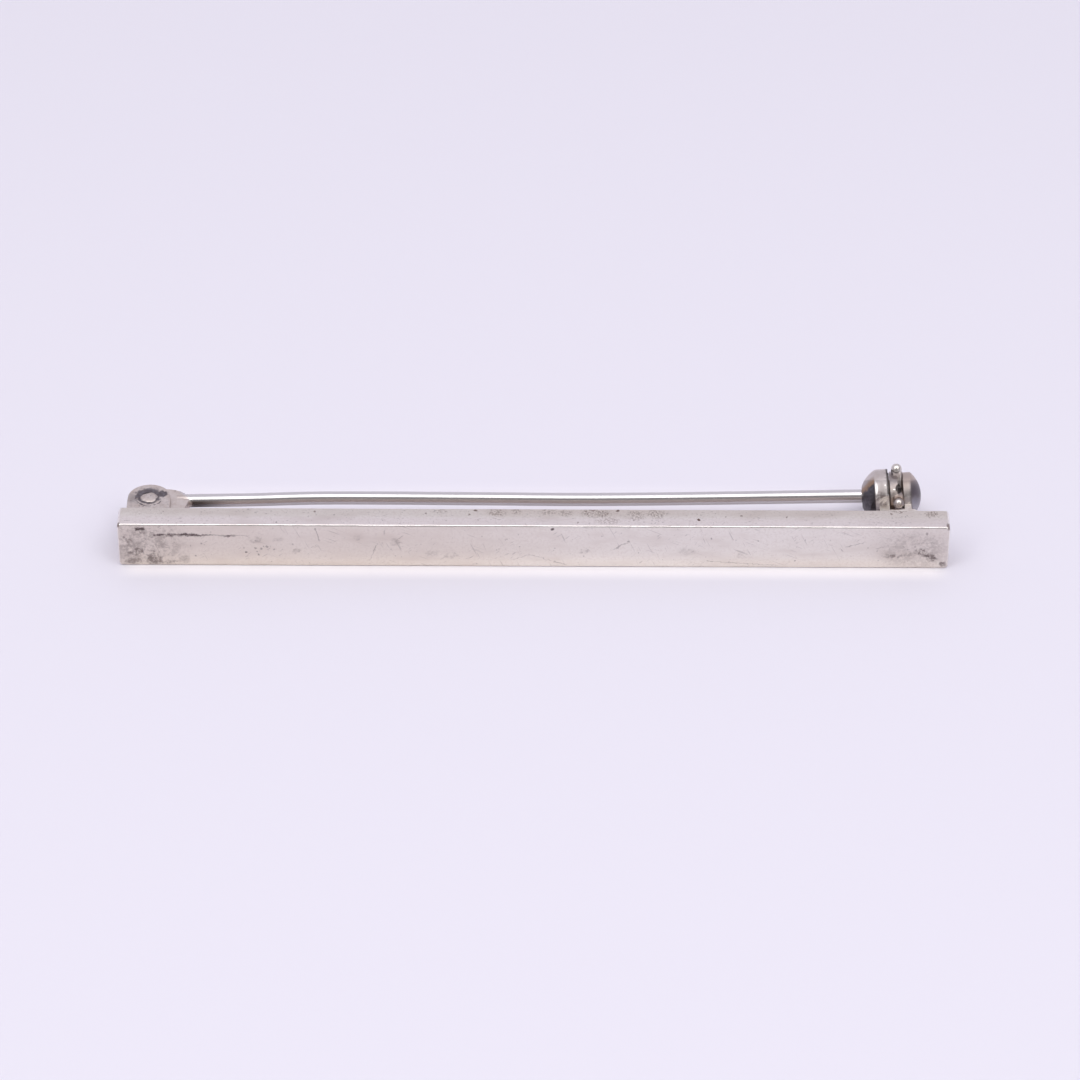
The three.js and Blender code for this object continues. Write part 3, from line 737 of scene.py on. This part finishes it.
def seen_place(f):
    """A place on the catch as the camera sees it: along the catch and up, from the ball's middle."""
    ball = BALL / MM
    tilt = math.radians(CAMERA_ELEVATION)
    across = f.axis("Z") - ball.z
    along = (f.axis("X") - ball.x) * math.cos(CATCH_TWIST) + across * math.sin(CATCH_TWIST)
    rise = (f.axis("Y") - ball.y) * math.sin(tilt) + across * math.cos(tilt)
    return along, rise


def ball_finish():
    """Silver worn pale on its bands, with painted highlights on them and a painted floor reflection low on
    them, and dark tarnish on its domes that turns brown at its edge.
    """
    f = Finish("worn_polish")
    along, rise = seen_place(f)
    grain = f.mottle(7, 6, 0.7)
    blotch = f.mottle(1.5, 5, 0.65, shift=(5, 2, 7))
    fine = f.mottle(4, 5, 0.65, shift=(1, 4, 2))
    uneven = (blotch - 0.5) * 0.7 + (fine - 0.5) * 0.3
    slant = rise - along * 0.81 - 1.9 + uneven
    left_dome = f.step(along, -1.06, -1.12)
    left_dark = left_dome * f.step(slant, 0.05, -0.25)
    left_brown = left_dome * f.step(slant, 0.4, 0.0)
    right = f.step(along, 0.8, 0.9)
    right_dome = f.step(along + uneven * 0.3, 1.25, 1.45)
    right_dark = right_dome * f.patch(along, rise, (1.85, 0.2), 1.1)
    right_blue = right_dome * f.step(rise + uneven, 0.0, -0.5)
    right_brown = right * f.step(rise + uneven, 0.1, 0.9) * (1 - right_dark)
    smudges = f.patch(along, rise, (-0.74, -0.03), 0.5) | f.patch(along, rise, (-0.57, -0.66), 0.35)
    smudges = smudges * f.step(fine, 0.35, 0.55)
    for across, up, radius, tall, dark in BAND_SMUDGES:
        smudges = smudges | f.patch(along, rise, (across, up), radius, tall) * dark
    streaks = f.step(f.mottle(2.2, 4, 0.6, (2, 1, 1), (0, 0, 35)), 0.5, 0.66) * f.step(rise, 0.5, -0.2)
    # Pale streaks low on the bands: worn bright scratches, painted as highlights
    gleams = f.step(f.mottle(2.6, 4, 0.6, (3, 1, 1), (0, -50, 0), (3, 9, 2)), 0.52, 0.6)
    gleams = gleams * f.step(rise + uneven, 0.2, -0.3) * (1 - left_dome) * (1 - right_dome)
    specks = f.specks(2.8, 0.2, 0.3)
    # A dark line beside the slot's gap, partly dirt and partly painted shade that widens the gap's shade
    seam = f.step(along + uneven * 0.15, -0.28, -0.2) * (1 - right) * f.step(rise + uneven, -0.2, 0.1)
    # A pale rim at the left band's edge, partly wear and partly a painted highlight, and a small painted
    # glint
    rubbed_and_highlight = f.patch(along, rise, (-1.02, 0.5), 0.17, 3.6) | f.patch(along, rise, (-0.35, 0.71), 0.06)
    faced = f.step(rise + uneven * 0.3, 1.12, 1.0) * f.step(rise + uneven, -0.2, 0.2)
    colour = f.filmed(blotch, 0.4, WORN_SILVER)
    colour = f.mix(faced * 0.8, colour, GREY_SILVER)
    # The bands' lower side is painted paler and cooler, a painted reflection of the floor
    colour = f.mix(f.step(rise + uneven, 0.1, -0.3) * 0.6, colour, PAINTED_FLOOR_REFLECTION)
    colour = f.mix(right_brown * 0.6, colour, BROWN_FILM)
    colour = f.mix(streaks * 0.6 * (1 - right) | specks * 0.4 | smudges * 0.75, colour, TARNISH)
    colour = f.mix(gleams * 0.8, colour, PALE_SILVER)
    colour = f.mix(faced * right * 0.25, colour, TARNISH)
    colour = f.mix(seam * 0.85, colour, DIRT_AND_SHADE)
    colour = f.mix(rubbed_and_highlight, colour, PALE_SILVER)
    colour = f.mix(left_brown * 0.9, colour, RUST_FILM)
    colour = f.mix(left_dark, colour, f.mix(0.25 + f.step(fine, 0.3, 0.8) * 0.4, DIRT_AND_SHADE, BLUE_TARNISH))
    colour = f.mix(right_dark * 0.85, colour, DARK_TARNISH)
    colour = f.mix(right_blue * 0.6, colour, BLUE_TARNISH)
    tarnished = left_dark | right_dark
    roughness = 0.34 + grain * 0.16 + streaks * 0.05 + specks * 0.1 - tarnished * 0.08 - rubbed_and_highlight * 0.1
    return f.dress(colour, roughness, grain * 0.5 + blotch * 0.5 - specks * 0.5, 0.014)


def rotor_finish():
    """Grey worn silver, with painted shade in its hollow, a painted highlight on its rim and brown about
    its nubs.
    """
    f = Finish("worn_rotor")
    along, rise = seen_place(f)
    grain = f.mottle(7, 6, 0.7)
    blotch = f.mottle(1.7, 5, 0.65, shift=(2, 6, 1))
    fine = f.mottle(4, 5, 0.65, shift=(7, 1, 5))
    # Painted shade in the hollow between the nubs
    hollow = f.patch(along + (fine - 0.5) * 0.3, rise, (0.58, 0.46), 0.26, 1.8)
    nub = f.patch(along, rise, (0.5, -0.6), 0.5)
    outline = f.patch(along, rise, (0.5, -0.65), 0.8) * f.step(nub, 0.35, 0.1)
    # Below the upper nub, where it meets the rim: partly a stain and partly painted shade that dulls the
    # rim's reflection there
    stain = f.patch(along, rise, (0.42, 1.4), 0.42, 0.8)
    colour = f.filmed(blotch, 0.5, GREY_SILVER)
    dull = 0.2 + f.step(fine, 0.45, 0.7) * 0.2
    colour = f.mix(dull | f.specks(2.8, 0.2, 0.3) * 0.5, colour, TARNISH)
    colour = f.mix(outline * 0.7, colour, RUST_FILM)
    colour = f.mix(f.step(stain, 0, 0.6) * 0.75, colour, TARNISH)
    tips = f.step(rise, 1.55, 1.75) * 0.7 | f.patch(along, rise, (0.47, -0.5), 0.3) * 0.6
    # A small painted highlight on the rim between the nubs
    glint = f.patch(along, rise * 2, (0.27, 0.82), 0.12)
    colour = f.mix(tips | glint, colour, CLEAN_SILVER)
    colour = f.mix(f.step(hollow, 0.1, 0.7) * 0.95, colour, DIRT_AND_SHADE)
    return f.dress(colour, 0.3 + grain * 0.16 - tips * 0.16, grain * 0.5 + blotch * 0.5, 0.014)


def dirt_and_shade_finish():
    """Dry brown dirt, dark enough to be painted shade in the slot's gaps as well."""
    f = Finish("dry_dirt_and_shade")
    f.feed(f.shader.inputs["Metallic"], 0)
    blotch = f.mottle(3, 5, 0.65)
    right = f.step(f.axis("X"), BALL.x / MM + SLOT_START, BALL.x / MM + SLOT_END)
    colour = f.mix(f.step(blotch, 0.35, 0.65), DIRT_AND_SHADE, DARK_RUST)
    return f.dress(f.mix(right, colour, BROWN_FILM), 0.7 + blotch * 0.3, blotch, 0.03)


def foot_finish():
    """Cast silver left as soldered, grey and slightly rough."""
    f = Finish("cast_silver")
    grain = f.mottle(5, 6, 0.7)
    blotch = f.mottle(1.7, 5, 0.65, shift=(1, 8, 3))
    colour = f.filmed(blotch, 0.6, CLEAN_SILVER)
    colour = f.mix(f.specks(2, 0.2, 0.3) * 0.6, colour, TARNISH)
    return f.dress(colour, 0.34 + grain * 0.22, grain * 0.7 + blotch * 0.5, 0.01)


# Pieces

def bar_shape():
    size = BAR_HIGH - BAR_LOW
    corners = rectangle(size.x / 2, size.z / 2, BAR_CORNER_RADIUS)
    bm = plate(corners, size.y, Matrix.Translation((BAR_LOW + BAR_HIGH) / 2) @ STANDING)
    rims = [edge for edge in bm.edges if abs(edge.verts[0].co.y - edge.verts[1].co.y) < WELD]
    bevel(bm, rims, BAR_EDGE_RADIUS, BAR_EDGE_STEPS)
    long_edges = [edge for edge in bm.edges if edge.calc_length() > BAR_HIGH.x]
    bmesh.ops.subdivide_edges(bm, edges=long_edges, cuts=BAR_CUTS, use_grid_fill=True)
    return wear_edges(bm)


def wear_edges(bm):
    """Marks how far each point lies round an edge, and wears the edges down unevenly."""
    layer = bm.verts.layers.float.new("edge")
    slant = 1 - math.sqrt(0.5)
    bm.normal_update()
    for vert in bm.verts:
        round_edge = min((1 - max(abs(part) for part in vert.normal)) / slant, 1)
        vert[layer] = round_edge
        wear = max(0.5 + noise.fractal(vert.co * EDGE_WEAR_PER_MM, 0.9, 2.0, 4), 0)
        vert.co -= vert.normal * EDGE_WEAR_DEPTH * round_edge * wear
    return bm


def rivet_hole():
    return rod(RIVET_HOLE_RADIUS, -MARGIN, MARGIN, CROSSWISE)


def bracket_shape():
    ear, foot = BRACKET_HIGH.y, BRACKET_LOW.y
    flared, flare_top = BRACKET_HIGH.x, foot + EAR_FLARE_RISE
    corners = [
        (-flared, foot, 0),
        (flared, foot, 0),
        (ear, flare_top, EAR_FLARE_BEND),
        (ear, ear, ear * FULL_ROUND),
        (-ear, ear, ear * FULL_ROUND),
        (-ear, flare_top, EAR_FLARE_BEND),
    ]
    gap = BRACKET_HIGH.z - EAR_THICKNESS
    room = block((-flared - MARGIN, foot + PLATE_THICKNESS, -gap), (flared + MARGIN, ear + MARGIN, gap))
    folds = [edge for edge in room.edges if all(vert.co.y < 0 for vert in edge.verts)]
    folds = [edge for edge in folds if edge.calc_length() > flared]
    bevel(room, folds, FOLD_RADIUS, CORNER_STEPS)
    ears = plate(corners, BRACKET_HIGH.z * 2)
    return soften(cut(cut(ears, room), rivet_hole()), EAR_RIM)


def rivet_shape():
    """A shank with its two ends hammered into low, uneven heads."""
    half, top, head = BRACKET_HIGH.z, RIVET_HIGH.z, RIVET_HIGH.x
    dome = []
    for i in range(ARC_STEPS + 1):
        angle = math.pi / 2 * i / ARC_STEPS
        dome.append((half + (top - half) * math.cos(angle), head * math.sin(angle)))
    profile = dome + [(half, RIVET_SHANK_RADIUS), (-half, RIVET_SHANK_RADIUS)]
    profile += [(-station, radius) for station, radius in reversed(dome)]
    rivet = turned(profile, turn=CROSSWISE)
    for vert in rivet.verts:
        if abs(vert.co.z) > half:
            turn = Vector((vert.co.x, vert.co.y, 0)).normalized()
            spread = 1 - PEEN_UNEVEN * max(noise.noise(turn * 1.3 + Vector((2.4, 0, vert.co.z))), 0)
            vert.co.x *= spread
            vert.co.y *= spread
            dent = PEEN_DEPTH * (0.5 + 0.5 * noise.noise(vert.co * PEEN_DENTS_PER_MM))
            vert.co.z -= math.copysign(min(dent, abs(vert.co.z) - half), vert.co.z)
    return rivet


def wire_axis(station):
    """Distance of the wire's axis behind the rivet's, at a station along the pin."""
    span = (BALL.x - RIVET.x) / MM
    reach = (BALL.y - RIVET.y) / MM
    share = station / span
    return WIRE_OFFSET + (reach - WIRE_OFFSET) * share + smooth_through(WIRE_SWAY, share)


def wire_stations():
    """Each ring of the wire, as its station and radius, up to the blunt tip."""
    point_start = PIN_HIGH.x - POINT_LENGTH
    rings = [(BRACKET_HIGH.y, WIRE_ROOT_RADIUS), (WIRE_NECK, WIRE_NECK_RADIUS)]
    for i in range(WIRE_RINGS + 1):
        rings.append((WIRE_FULL_FROM + (point_start - WIRE_FULL_FROM) * i / WIRE_RINGS, WIRE_RADIUS))
    for i in range(1, POINT_RINGS + 1):
        share = i / POINT_RINGS
        radius = WIRE_RADIUS + (POINT_RADIUS - WIRE_RADIUS) * share**POINT_FULLNESS
        rings.append((point_start + (POINT_LENGTH - POINT_RADIUS) * share, radius))
    rings.append((PIN_HIGH.x, POINT_RADIUS / 4))
    return rings


def wire_shape():
    bm = bmesh.new()
    rings = wire_stations()
    circle = bmesh.ops.create_circle(bm, cap_ends=True, segments=WIRE_SIDES, radius=1, matrix=CROSSWISE)
    ring = circle["verts"]
    station, radius = rings[0]
    bmesh.ops.scale(bm, vec=(1, radius, radius), verts=ring)
    bmesh.ops.translate(bm, vec=(station, wire_axis(station), 0), verts=ring)
    rim = list({edge for vert in ring for edge in vert.link_edges})
    for (here, now), (there, then) in zip(rings, rings[1:]):
        grown = bmesh.ops.extrude_edge_only(bm, edges=rim)["geom"]
        ring = [part for part in grown if isinstance(part, bmesh.types.BMVert)]
        rim = [part for part in grown if isinstance(part, bmesh.types.BMEdge)]
        rim = [edge for edge in rim if all(vert in ring for vert in edge.verts)]
        middle = Matrix.Translation((-here, -wire_axis(here), 0))
        bmesh.ops.scale(bm, vec=(1, then / now, then / now), space=middle, verts=ring)
        bmesh.ops.translate(bm, vec=(there - here, wire_axis(there) - wire_axis(here), 0), verts=ring)
    bmesh.ops.contextual_create(bm, geom=rim)
    bmesh.ops.recalc_face_normals(bm, faces=bm.faces)
    return bm


def pin_shape():
    shoulder = WIRE_OFFSET + WIRE_RADIUS
    corners = [
        (-EYE_RADIUS, -EYE_RADIUS, EYE_RADIUS * FULL_ROUND),
        (EYE_RADIUS * 0.35, -EYE_RADIUS, HEEL_BEND),
        (EYE_RADIUS * 0.75, -HEEL_DROP, HEEL_CORNER),
        (TONGUE_LENGTH - TONGUE_SLANT, -HEEL_DROP, TONGUE_CORNER),
        (TONGUE_LENGTH + TONGUE_BULGE, shoulder - TONGUE_NOSE_DROP, TONGUE_NOSE_BEND),
        (TONGUE_LENGTH - TONGUE_SLANT, shoulder + TONGUE_OVER_WIRE, TONGUE_CORNER),
        (*TONGUE_BACK, TONGUE_BACK_BEND),
        (0, EYE_RADIUS, 0),
        (-EYE_RADIUS, EYE_RADIUS, EYE_RADIUS * FULL_ROUND),
    ]
    tongue = soften(plate(corners, TONGUE_THICKNESS), TONGUE_RIM, 4)
    return cut(join(tongue, wire_shape()), rivet_hole())


def foot_shape():
    bottom = FOOT_LOW.y
    pad_top = bottom + PAD_THICKNESS
    pad_corners = rectangle(PAD_LENGTH / 2, PAD_WIDTH / 2, PAD_CORNER)
    pad = plate(pad_corners, PAD_THICKNESS, Matrix.Translation((0, bottom + PAD_THICKNESS / 2, 0)) @ LYING)
    top_rim = [edge for edge in pad.edges if all(vert.co.y > pad_top - WELD for vert in edge.verts)]
    bevel(pad, top_rim, PAD_RIM, 3)
    half = WEB_WIDTH / 2
    web_corners = [
        (bottom + WEB_LIFT, -half - WEB_FLARE, 0),
        (pad_top, -half - WEB_FLARE, 0),
        (pad_top, -half, WEB_FLARE_BEND),
        (-SADDLE_DROP, -half, 0),
        (-SADDLE_DROP, half, 0),
        (pad_top, half, WEB_FLARE_BEND),
        (pad_top, half + WEB_FLARE, 0),
        (bottom + WEB_LIFT, half + WEB_FLARE, 0),
    ]
    web_start, web_end = SLOT_START - SADDLE_LENGTH_LEFT, SLOT_END + SADDLE_LENGTH_RIGHT
    along = Matrix(((0, 0, 1, (web_start + web_end) / 2), (1, 0, 0, 0), (0, 1, 0, 0), (0, 0, 0, 1)))
    web = plate(web_corners, web_end - web_start, along)
    room = block((SLOT_START, -ROTOR_FLOOR, -WEB_WIDTH), (SLOT_END, 0, WEB_WIDTH))
    return soften(cut(join(web, pad), room), FOOT_RIM, 2)


def ball_arc(start, end):
    """Stations and radii of the ball's outline between two stations."""
    first, last = math.acos(start / BALL_RADIUS), math.acos(end / BALL_RADIUS)
    angles = [first + (last - first) * i / ARC_STEPS for i in range(ARC_STEPS + 1)]
    return [(BALL_RADIUS * math.cos(angle), BALL_RADIUS * math.sin(angle)) for angle in angles]


def ball_station(radius):
    return math.sqrt(BALL_RADIUS**2 - radius**2)


def finish_cheek(turned_half, end):
    """Cuts the mouth that lets the pin in from behind, and the flat that sits on the foot."""
    reach = BALL_RADIUS + MARGIN
    half = MOUTH_WIDTH / 2
    open_half = cut(turned_half, block((-reach, 0, -half), (end, reach, half)))
    below_foot = block((-reach, -reach, -reach), (reach, -SADDLE_DROP, reach))
    return soften(cut(open_half, below_foot), CHEEK_RIM)


def left_cheek_shape():
    outer = -ball_station(PIN_BORE)
    seat = SLOT_START - SEAT_DEPTH_LEFT
    profile = ball_arc(outer, -ball_station(BAND_LEFT))
    profile += [
        (SLOT_START, BAND_LEFT),
        (SLOT_START, SEAT_RADIUS),
        (seat, SEAT_RADIUS),
        (seat, PIN_BORE),
    ]
    return finish_cheek(turned(profile, closed=True), SLOT_START + MARGIN)


def right_cheek_shape():
    seat = SLOT_END + SEAT_DEPTH_RIGHT
    pocket = seat + POCKET_DEPTH
    profile = [
        (pocket, 0),
        (pocket, PIN_BORE),
        (seat, PIN_BORE),
        (seat, SEAT_RADIUS),
        (SLOT_END, SEAT_RADIUS),
        (SLOT_END, BAND_RIGHT),
    ]
    profile += ball_arc(ball_station(BAND_RIGHT), BALL_RADIUS)
    return finish_cheek(turned(profile), pocket)


def rim_reach(degrees):
    """Distance of the rotor's rim from its axis: a wheel with two thumb nubs and a hollow between."""
    def bell(middle, spread):
        return math.exp(-((degrees - middle) / spread)**2)

    nubs = sum(bell(angle, NUB_SPREAD) for angle in NUB_ANGLES)
    return WHEEL_RADIUS + NUB_ROOT_PROUD * nubs - HOLLOW_DEPTH * bell(sum(NUB_ANGLES) / 2, HOLLOW_SPREAD)


def wheel_shape(start, end):
    """The rotor's wheel with its nubs, rounded all round its rim."""
    bm = bmesh.new()
    ring = bmesh.ops.create_circle(bm, cap_ends=True, segments=RIM_STEPS, radius=1)["verts"]
    for vert in ring:
        vert.co *= rim_reach(math.degrees(math.atan2(vert.co.y, vert.co.x)) % 360)
    grown = bmesh.ops.extrude_face_region(bm, geom=bm.faces[:])["geom"]
    raised = [part for part in grown if isinstance(part, bmesh.types.BMVert)]
    bmesh.ops.translate(bm, vec=(0, 0, end - start), verts=raised)
    bmesh.ops.recalc_face_normals(bm, faces=bm.faces)
    axle = Matrix(((0, 0, 1, start), (1, 0, 0, 0), (0, 1, 0, 0), (0, 0, 0, 1)))
    bmesh.ops.transform(bm, matrix=axle, verts=bm.verts)
    return soften(bm, ROTOR_EDGE, 6)


def nub_shape(middle, degrees):
    """One thumb nub, a round post with a domed end."""
    tip = BALL_RADIUS + NUB_PROUD
    profile = [(HUB_RADIUS, 0), (HUB_RADIUS, NUB_RADIUS)]
    for i in range(ARC_STEPS + 1):
        angle = math.pi / 2 * i / ARC_STEPS
        profile.append((tip - NUB_RADIUS + NUB_RADIUS * math.sin(angle), NUB_RADIUS * math.cos(angle)))
    spoke = Matrix.Rotation(math.radians(90), 4, "Z")
    swing = Matrix.Rotation(math.radians(degrees), 4, "X")
    return turned(profile, turn=Matrix.Translation((middle, 0, 0)) @ swing @ spoke)


def rotor_shape():
    wheel_end = SLOT_END - WHEEL_GAP
    wheel_start = wheel_end - WHEEL_THICKNESS
    wheel_middle = (wheel_start + wheel_end) / 2
    hub_start = SLOT_START - SEAT_DEPTH_LEFT + HUB_GAP
    hub_end = SLOT_END + SEAT_DEPTH_RIGHT - HUB_GAP
    rotor = join(wheel_shape(wheel_start, wheel_end), rod(HUB_RADIUS, hub_start, hub_end))
    rotor = join(rotor, rod(COLLAR_RADIUS, SLOT_START + COLLAR_GAP, wheel_middle))
    for degrees in NUB_ANGLES:
        rotor = join(rotor, nub_shape(wheel_middle + NUB_SHIFT, degrees))
    rotor = cut(rotor, rod(PIN_BORE, hub_start - MARGIN, hub_end + MARGIN))
    half = MOUTH_WIDTH / 2
    slit = block((hub_start - MARGIN, 0, -half), (hub_end + MARGIN, WHEEL_RADIUS + MARGIN, half))
    return soften(cut(rotor, slit), SLIT_RIM, 2)


def dirt_and_shade_shape(start, end, radius):
    """Dirt packed into the slot beside a half ball, open at the mouth as that is, and dark as painted shade
    in the gap.
    """
    profile = [(start, SEAT_RADIUS), (start, radius), (end, radius), (end, SEAT_RADIUS)]
    half = MOUTH_WIDTH / 2
    mouth = block((start - MARGIN, 0, -half), (end + MARGIN, BALL_RADIUS, half))
    return cut(turned(profile, closed=True), mouth)


def solder_shape(low, high, corner):
    """Solder that ran out round a foot, given the foot's corners on the bar's back."""
    half_x, half_z = (high.x - low.x) / 2 + SOLDER_SPREAD, (high.z - low.z) / 2 + SOLDER_SPREAD
    bm = plate(rectangle(half_x, half_z, corner), SOLDER_RISE)
    top = [vert for vert in bm.verts if vert.co.z > 0]
    bmesh.ops.scale(bm, vec=(1 - SOLDER_SPREAD / half_x, 1 - SOLDER_SPREAD / half_z, 1), verts=top)
    bmesh.ops.subdivide_edges(bm, edges=bm.edges, cuts=SOLDER_CUTS, use_grid_fill=True)
    middle = Vector(((low.x + high.x) / 2, low.y + SOLDER_RISE / 2, (low.z + high.z) / 2))
    bmesh.ops.transform(bm, matrix=Matrix.Translation(middle) @ LYING, verts=bm.verts)
    return roughen(bm, SOLDER_RISE / 5, SOLDER_LUMPS_PER_MM, middle)


def catch_solder_shape():
    low = Vector((-PAD_LENGTH / 2, FOOT_LOW.y, -PAD_WIDTH / 2))
    high = Vector((PAD_LENGTH / 2, FOOT_LOW.y + PAD_THICKNESS, PAD_WIDTH / 2))
    return solder_shape(low, high, PAD_CORNER)


# Stage, light and camera

FLOOR_COLOUR = (0.79, 0.766, 0.846, 1)
# The floor's glow is painted light: a pool in front of the bar, and a weaker one behind it that offsets the
# bar's shade
FLOOR_GLOW_COLOUR = (0.99, 0.955, 1, 1)
FLOOR_GLOW_FROM = -2.7
FLOOR_GLOW_TO = -1.2
REAR_GLOW_FROM = 9
REAR_GLOW_TO = 6.5
REAR_GLOW = 0.4
BACKDROP_COLOUR = (0.70, 0.675, 0.755, 1)
FRONT_COLOUR = (0.37, 0.36, 0.38, 1)
LENS_SHADE_COLOUR = (0.26, 0.25, 0.26, 1)
FLOOR_SIZE_M = 4
FLOOR_DROP = 0.01
SOFTBOX_HEIGHT = 500
SOFTBOX_FROM_FRONT = 59
SOFTBOX_TO_BACK = 99
SOFTBOX_WIDTH = 800
SOFTBOX_RADIANCE = 1.65
SIDE_BOX_PLACE = (320, -300, 430)
SIDE_BOX_SIZE = 300
SIDE_BOX_RADIANCE = 1.35


def paper_finish():
    """Pale paper, with a painted pool of light along the bar's front, where its sides would throw light,
    and a weaker painted one behind the bar that offsets its shade.
    """
    f = Finish("pale_paper")
    f.feed(f.shader.inputs["Metallic"], 0)
    f.feed(f.shader.inputs["Specular IOR Level"], 0.1)
    depth = f.axis("Y")
    glow = f.step(depth, FLOOR_GLOW_FROM, FLOOR_GLOW_TO) * f.step(depth, 0, BAR_LOW.y / 2)
    rear = f.step(depth, REAR_GLOW_FROM, REAR_GLOW_TO) * f.step(depth, 0, BAR_HIGH.y)
    glow = glow | rear * REAR_GLOW
    glow = glow * f.step(abs(f.axis("X")), BAR_HIGH.x + 0.5, BAR_HIGH.x - 1.5)
    fibre = f.mottle(3, 4, 0.6)
    return f.dress(f.mix(glow, FLOOR_COLOUR, FLOOR_GLOW_COLOUR), 0.85 + fibre * 0.1, fibre, 0.001)


def lay_floor():
    bm = bmesh.new()
    bmesh.ops.create_grid(bm, x_segments=1, y_segments=1, size=FLOOR_SIZE_M / 2)
    bmesh.ops.translate(bm, vec=(0, 0, -FLOOR_DROP * MM), verts=bm.verts)
    mesh = bpy.data.meshes.new("floor")
    bm.to_mesh(mesh)
    bm.free()
    mesh.materials.append(paper_finish())
    floor = bpy.data.objects.new("floor", mesh)
    SCENE.collection.objects.link(floor)


def light_room():
    """A pale backdrop behind, a dimmer room in front, darkest about the camera, and three softboxes."""
    world = bpy.data.worlds.new("studio")
    SCENE.world = world
    world.use_nodes = True
    nodes = Nodes(world.node_tree)
    ray = nodes.node("ShaderNodeTexCoord", output="Generated")
    rise = math.radians(CAMERA_ELEVATION)
    toward_camera = (0, -math.cos(rise), math.sin(rise))

    def lean(direction, low, high):
        """How far a ray leans to a direction, 0 at one cosine and 1 at another."""
        return nodes.step(nodes.vector("DOT_PRODUCT", ray, direction, "Value"), low, high)

    colour = nodes.mix(lean((0, 1, 0), -0.3, 0.2), FRONT_COLOUR, BACKDROP_COLOUR)
    colour = nodes.mix(lean(toward_camera, 0.85, 0.96), colour, LENS_SHADE_COLOUR)
    nodes.feed(world.node_tree.nodes["Background"].inputs["Color"], colour)
    front = SOFTBOX_HEIGHT / math.tan(math.radians(SOFTBOX_FROM_FRONT))
    back = SOFTBOX_HEIGHT / math.tan(math.radians(180 - SOFTBOX_TO_BACK))
    overhead = Vector((0, (back - front) / 2, SOFTBOX_HEIGHT))
    below = overhead - Vector((0, 0, 1))
    hang_softbox("softbox", overhead, below, SOFTBOX_WIDTH, front + back, SOFTBOX_RADIANCE)
    for name, side in (("side_box_left", -1), ("side_box_right", 1)):
        spot = Vector((side * SIDE_BOX_PLACE[0], *SIDE_BOX_PLACE[1:]))
        hang_softbox(name, spot, ORIGIN, SIDE_BOX_SIZE, SIDE_BOX_SIZE, SIDE_BOX_RADIANCE)


def hang_softbox(name, spot, target, width, length, radiance):
    lamp = bpy.data.lights.new(name, "AREA")
    lamp.shape = "RECTANGLE"
    lamp.size = width * MM
    lamp.size_y = length * MM
    lamp.energy = radiance * math.pi * lamp.size * lamp.size_y
    box = bpy.data.objects.new(name, lamp)
    aim = (spot - target).to_track_quat("Z", "Y").to_matrix().to_4x4()
    box.matrix_world = Matrix.Translation(spot * MM) @ aim
    SCENE.collection.objects.link(box)


def place_camera():
    rise, roll = math.radians(CAMERA_ELEVATION), math.radians(CAMERA_ROLL)
    right, up = Vector((1, 0, 0)), Vector((0, math.sin(rise), math.cos(rise)))
    back = Vector((0, -math.cos(rise), math.sin(rise)))
    spot = AIM_RIGHT * right + AIM_UP * up + CAMERA_DISTANCE * back
    level = math.cos(roll) * right - math.sin(roll) * up
    tall = math.sin(roll) * right + math.cos(roll) * up
    turn = Matrix.Rotation(math.radians(CAMERA_TURN), 3, "Z")
    axes = turn @ Matrix((level, tall, back)).transposed()
    lens = bpy.data.cameras.new("camera")
    lens.lens = CAMERA_LENS
    lens.clip_start = 10 * MM
    camera = bpy.data.objects.new("camera", lens)
    front_edge = Vector((0, BAR_LOW.y, 0))
    camera.matrix_world = Matrix.Translation((turn @ spot + front_edge) * MM) @ axes.to_4x4()
    SCENE.collection.objects.link(camera)
    SCENE.camera = camera


def main():
    hinge = hinge_finish()
    ball = ball_finish()
    cast = foot_finish()
    show("silver_bar", bar_shape(), ORIGIN, bar_finish(), "brooch", "bar")
    show("hinge_ears", bracket_shape(), RIVET, hinge, "brooch", "hinge_bracket")
    show("peened_rivet", rivet_shape(), RIVET, hinge, "brooch", "hinge_rivet")
    show("pin", pin_shape(), RIVET, wire_finish(), "pin", "pin_stem")
    hinge_solder = solder_shape(BRACKET_LOW, BRACKET_HIGH, SOLDER_SPREAD)
    show("hinge_solder", hinge_solder, RIVET, cast, "brooch")
    # Dark rings in the slot's gaps: dirt that is partly painted shade
    dirt_and_shade = dirt_and_shade_finish()
    left_start = SLOT_START + DIRT_AND_SHADE_GAP
    left_dirt_and_shade = dirt_and_shade_shape(left_start, left_start + DIRT_AND_SHADE_THICKNESS, DIRT_AND_SHADE_RADIUS)
    right_end = SLOT_END - DIRT_AND_SHADE_GAP
    right_dirt_and_shade = dirt_and_shade_shape(right_end - DIRT_AND_SHADE_THICKNESS_RIGHT, right_end, DIRT_AND_SHADE_RADIUS_RIGHT)
    catch_pieces = [
        ("foot", foot_shape(), cast, "brooch", "catch_foot"),
        ("half_ball_left", left_cheek_shape(), ball, "brooch", "catch_cheek_left"),
        ("half_ball_right", right_cheek_shape(), ball, "brooch", "catch_cheek_right"),
        ("rotor", rotor_shape(), rotor_finish(), "rotor", "catch_rotor"),
        ("catch_solder", catch_solder_shape(), cast, "brooch", None),
        ("slot_dirt_and_shade_left", left_dirt_and_shade, dirt_and_shade, "brooch", None),
        ("slot_dirt_and_shade_right", right_dirt_and_shade, dirt_and_shade, "brooch", None),
    ]
    for name, shape, finish, body, node in catch_pieces:
        show(name, shape, BALL, finish, body, node, TWISTED)
    lay_floor()
    light_room()
    place_camera()
    SCENE.view_settings.view_transform = "Standard"


main()
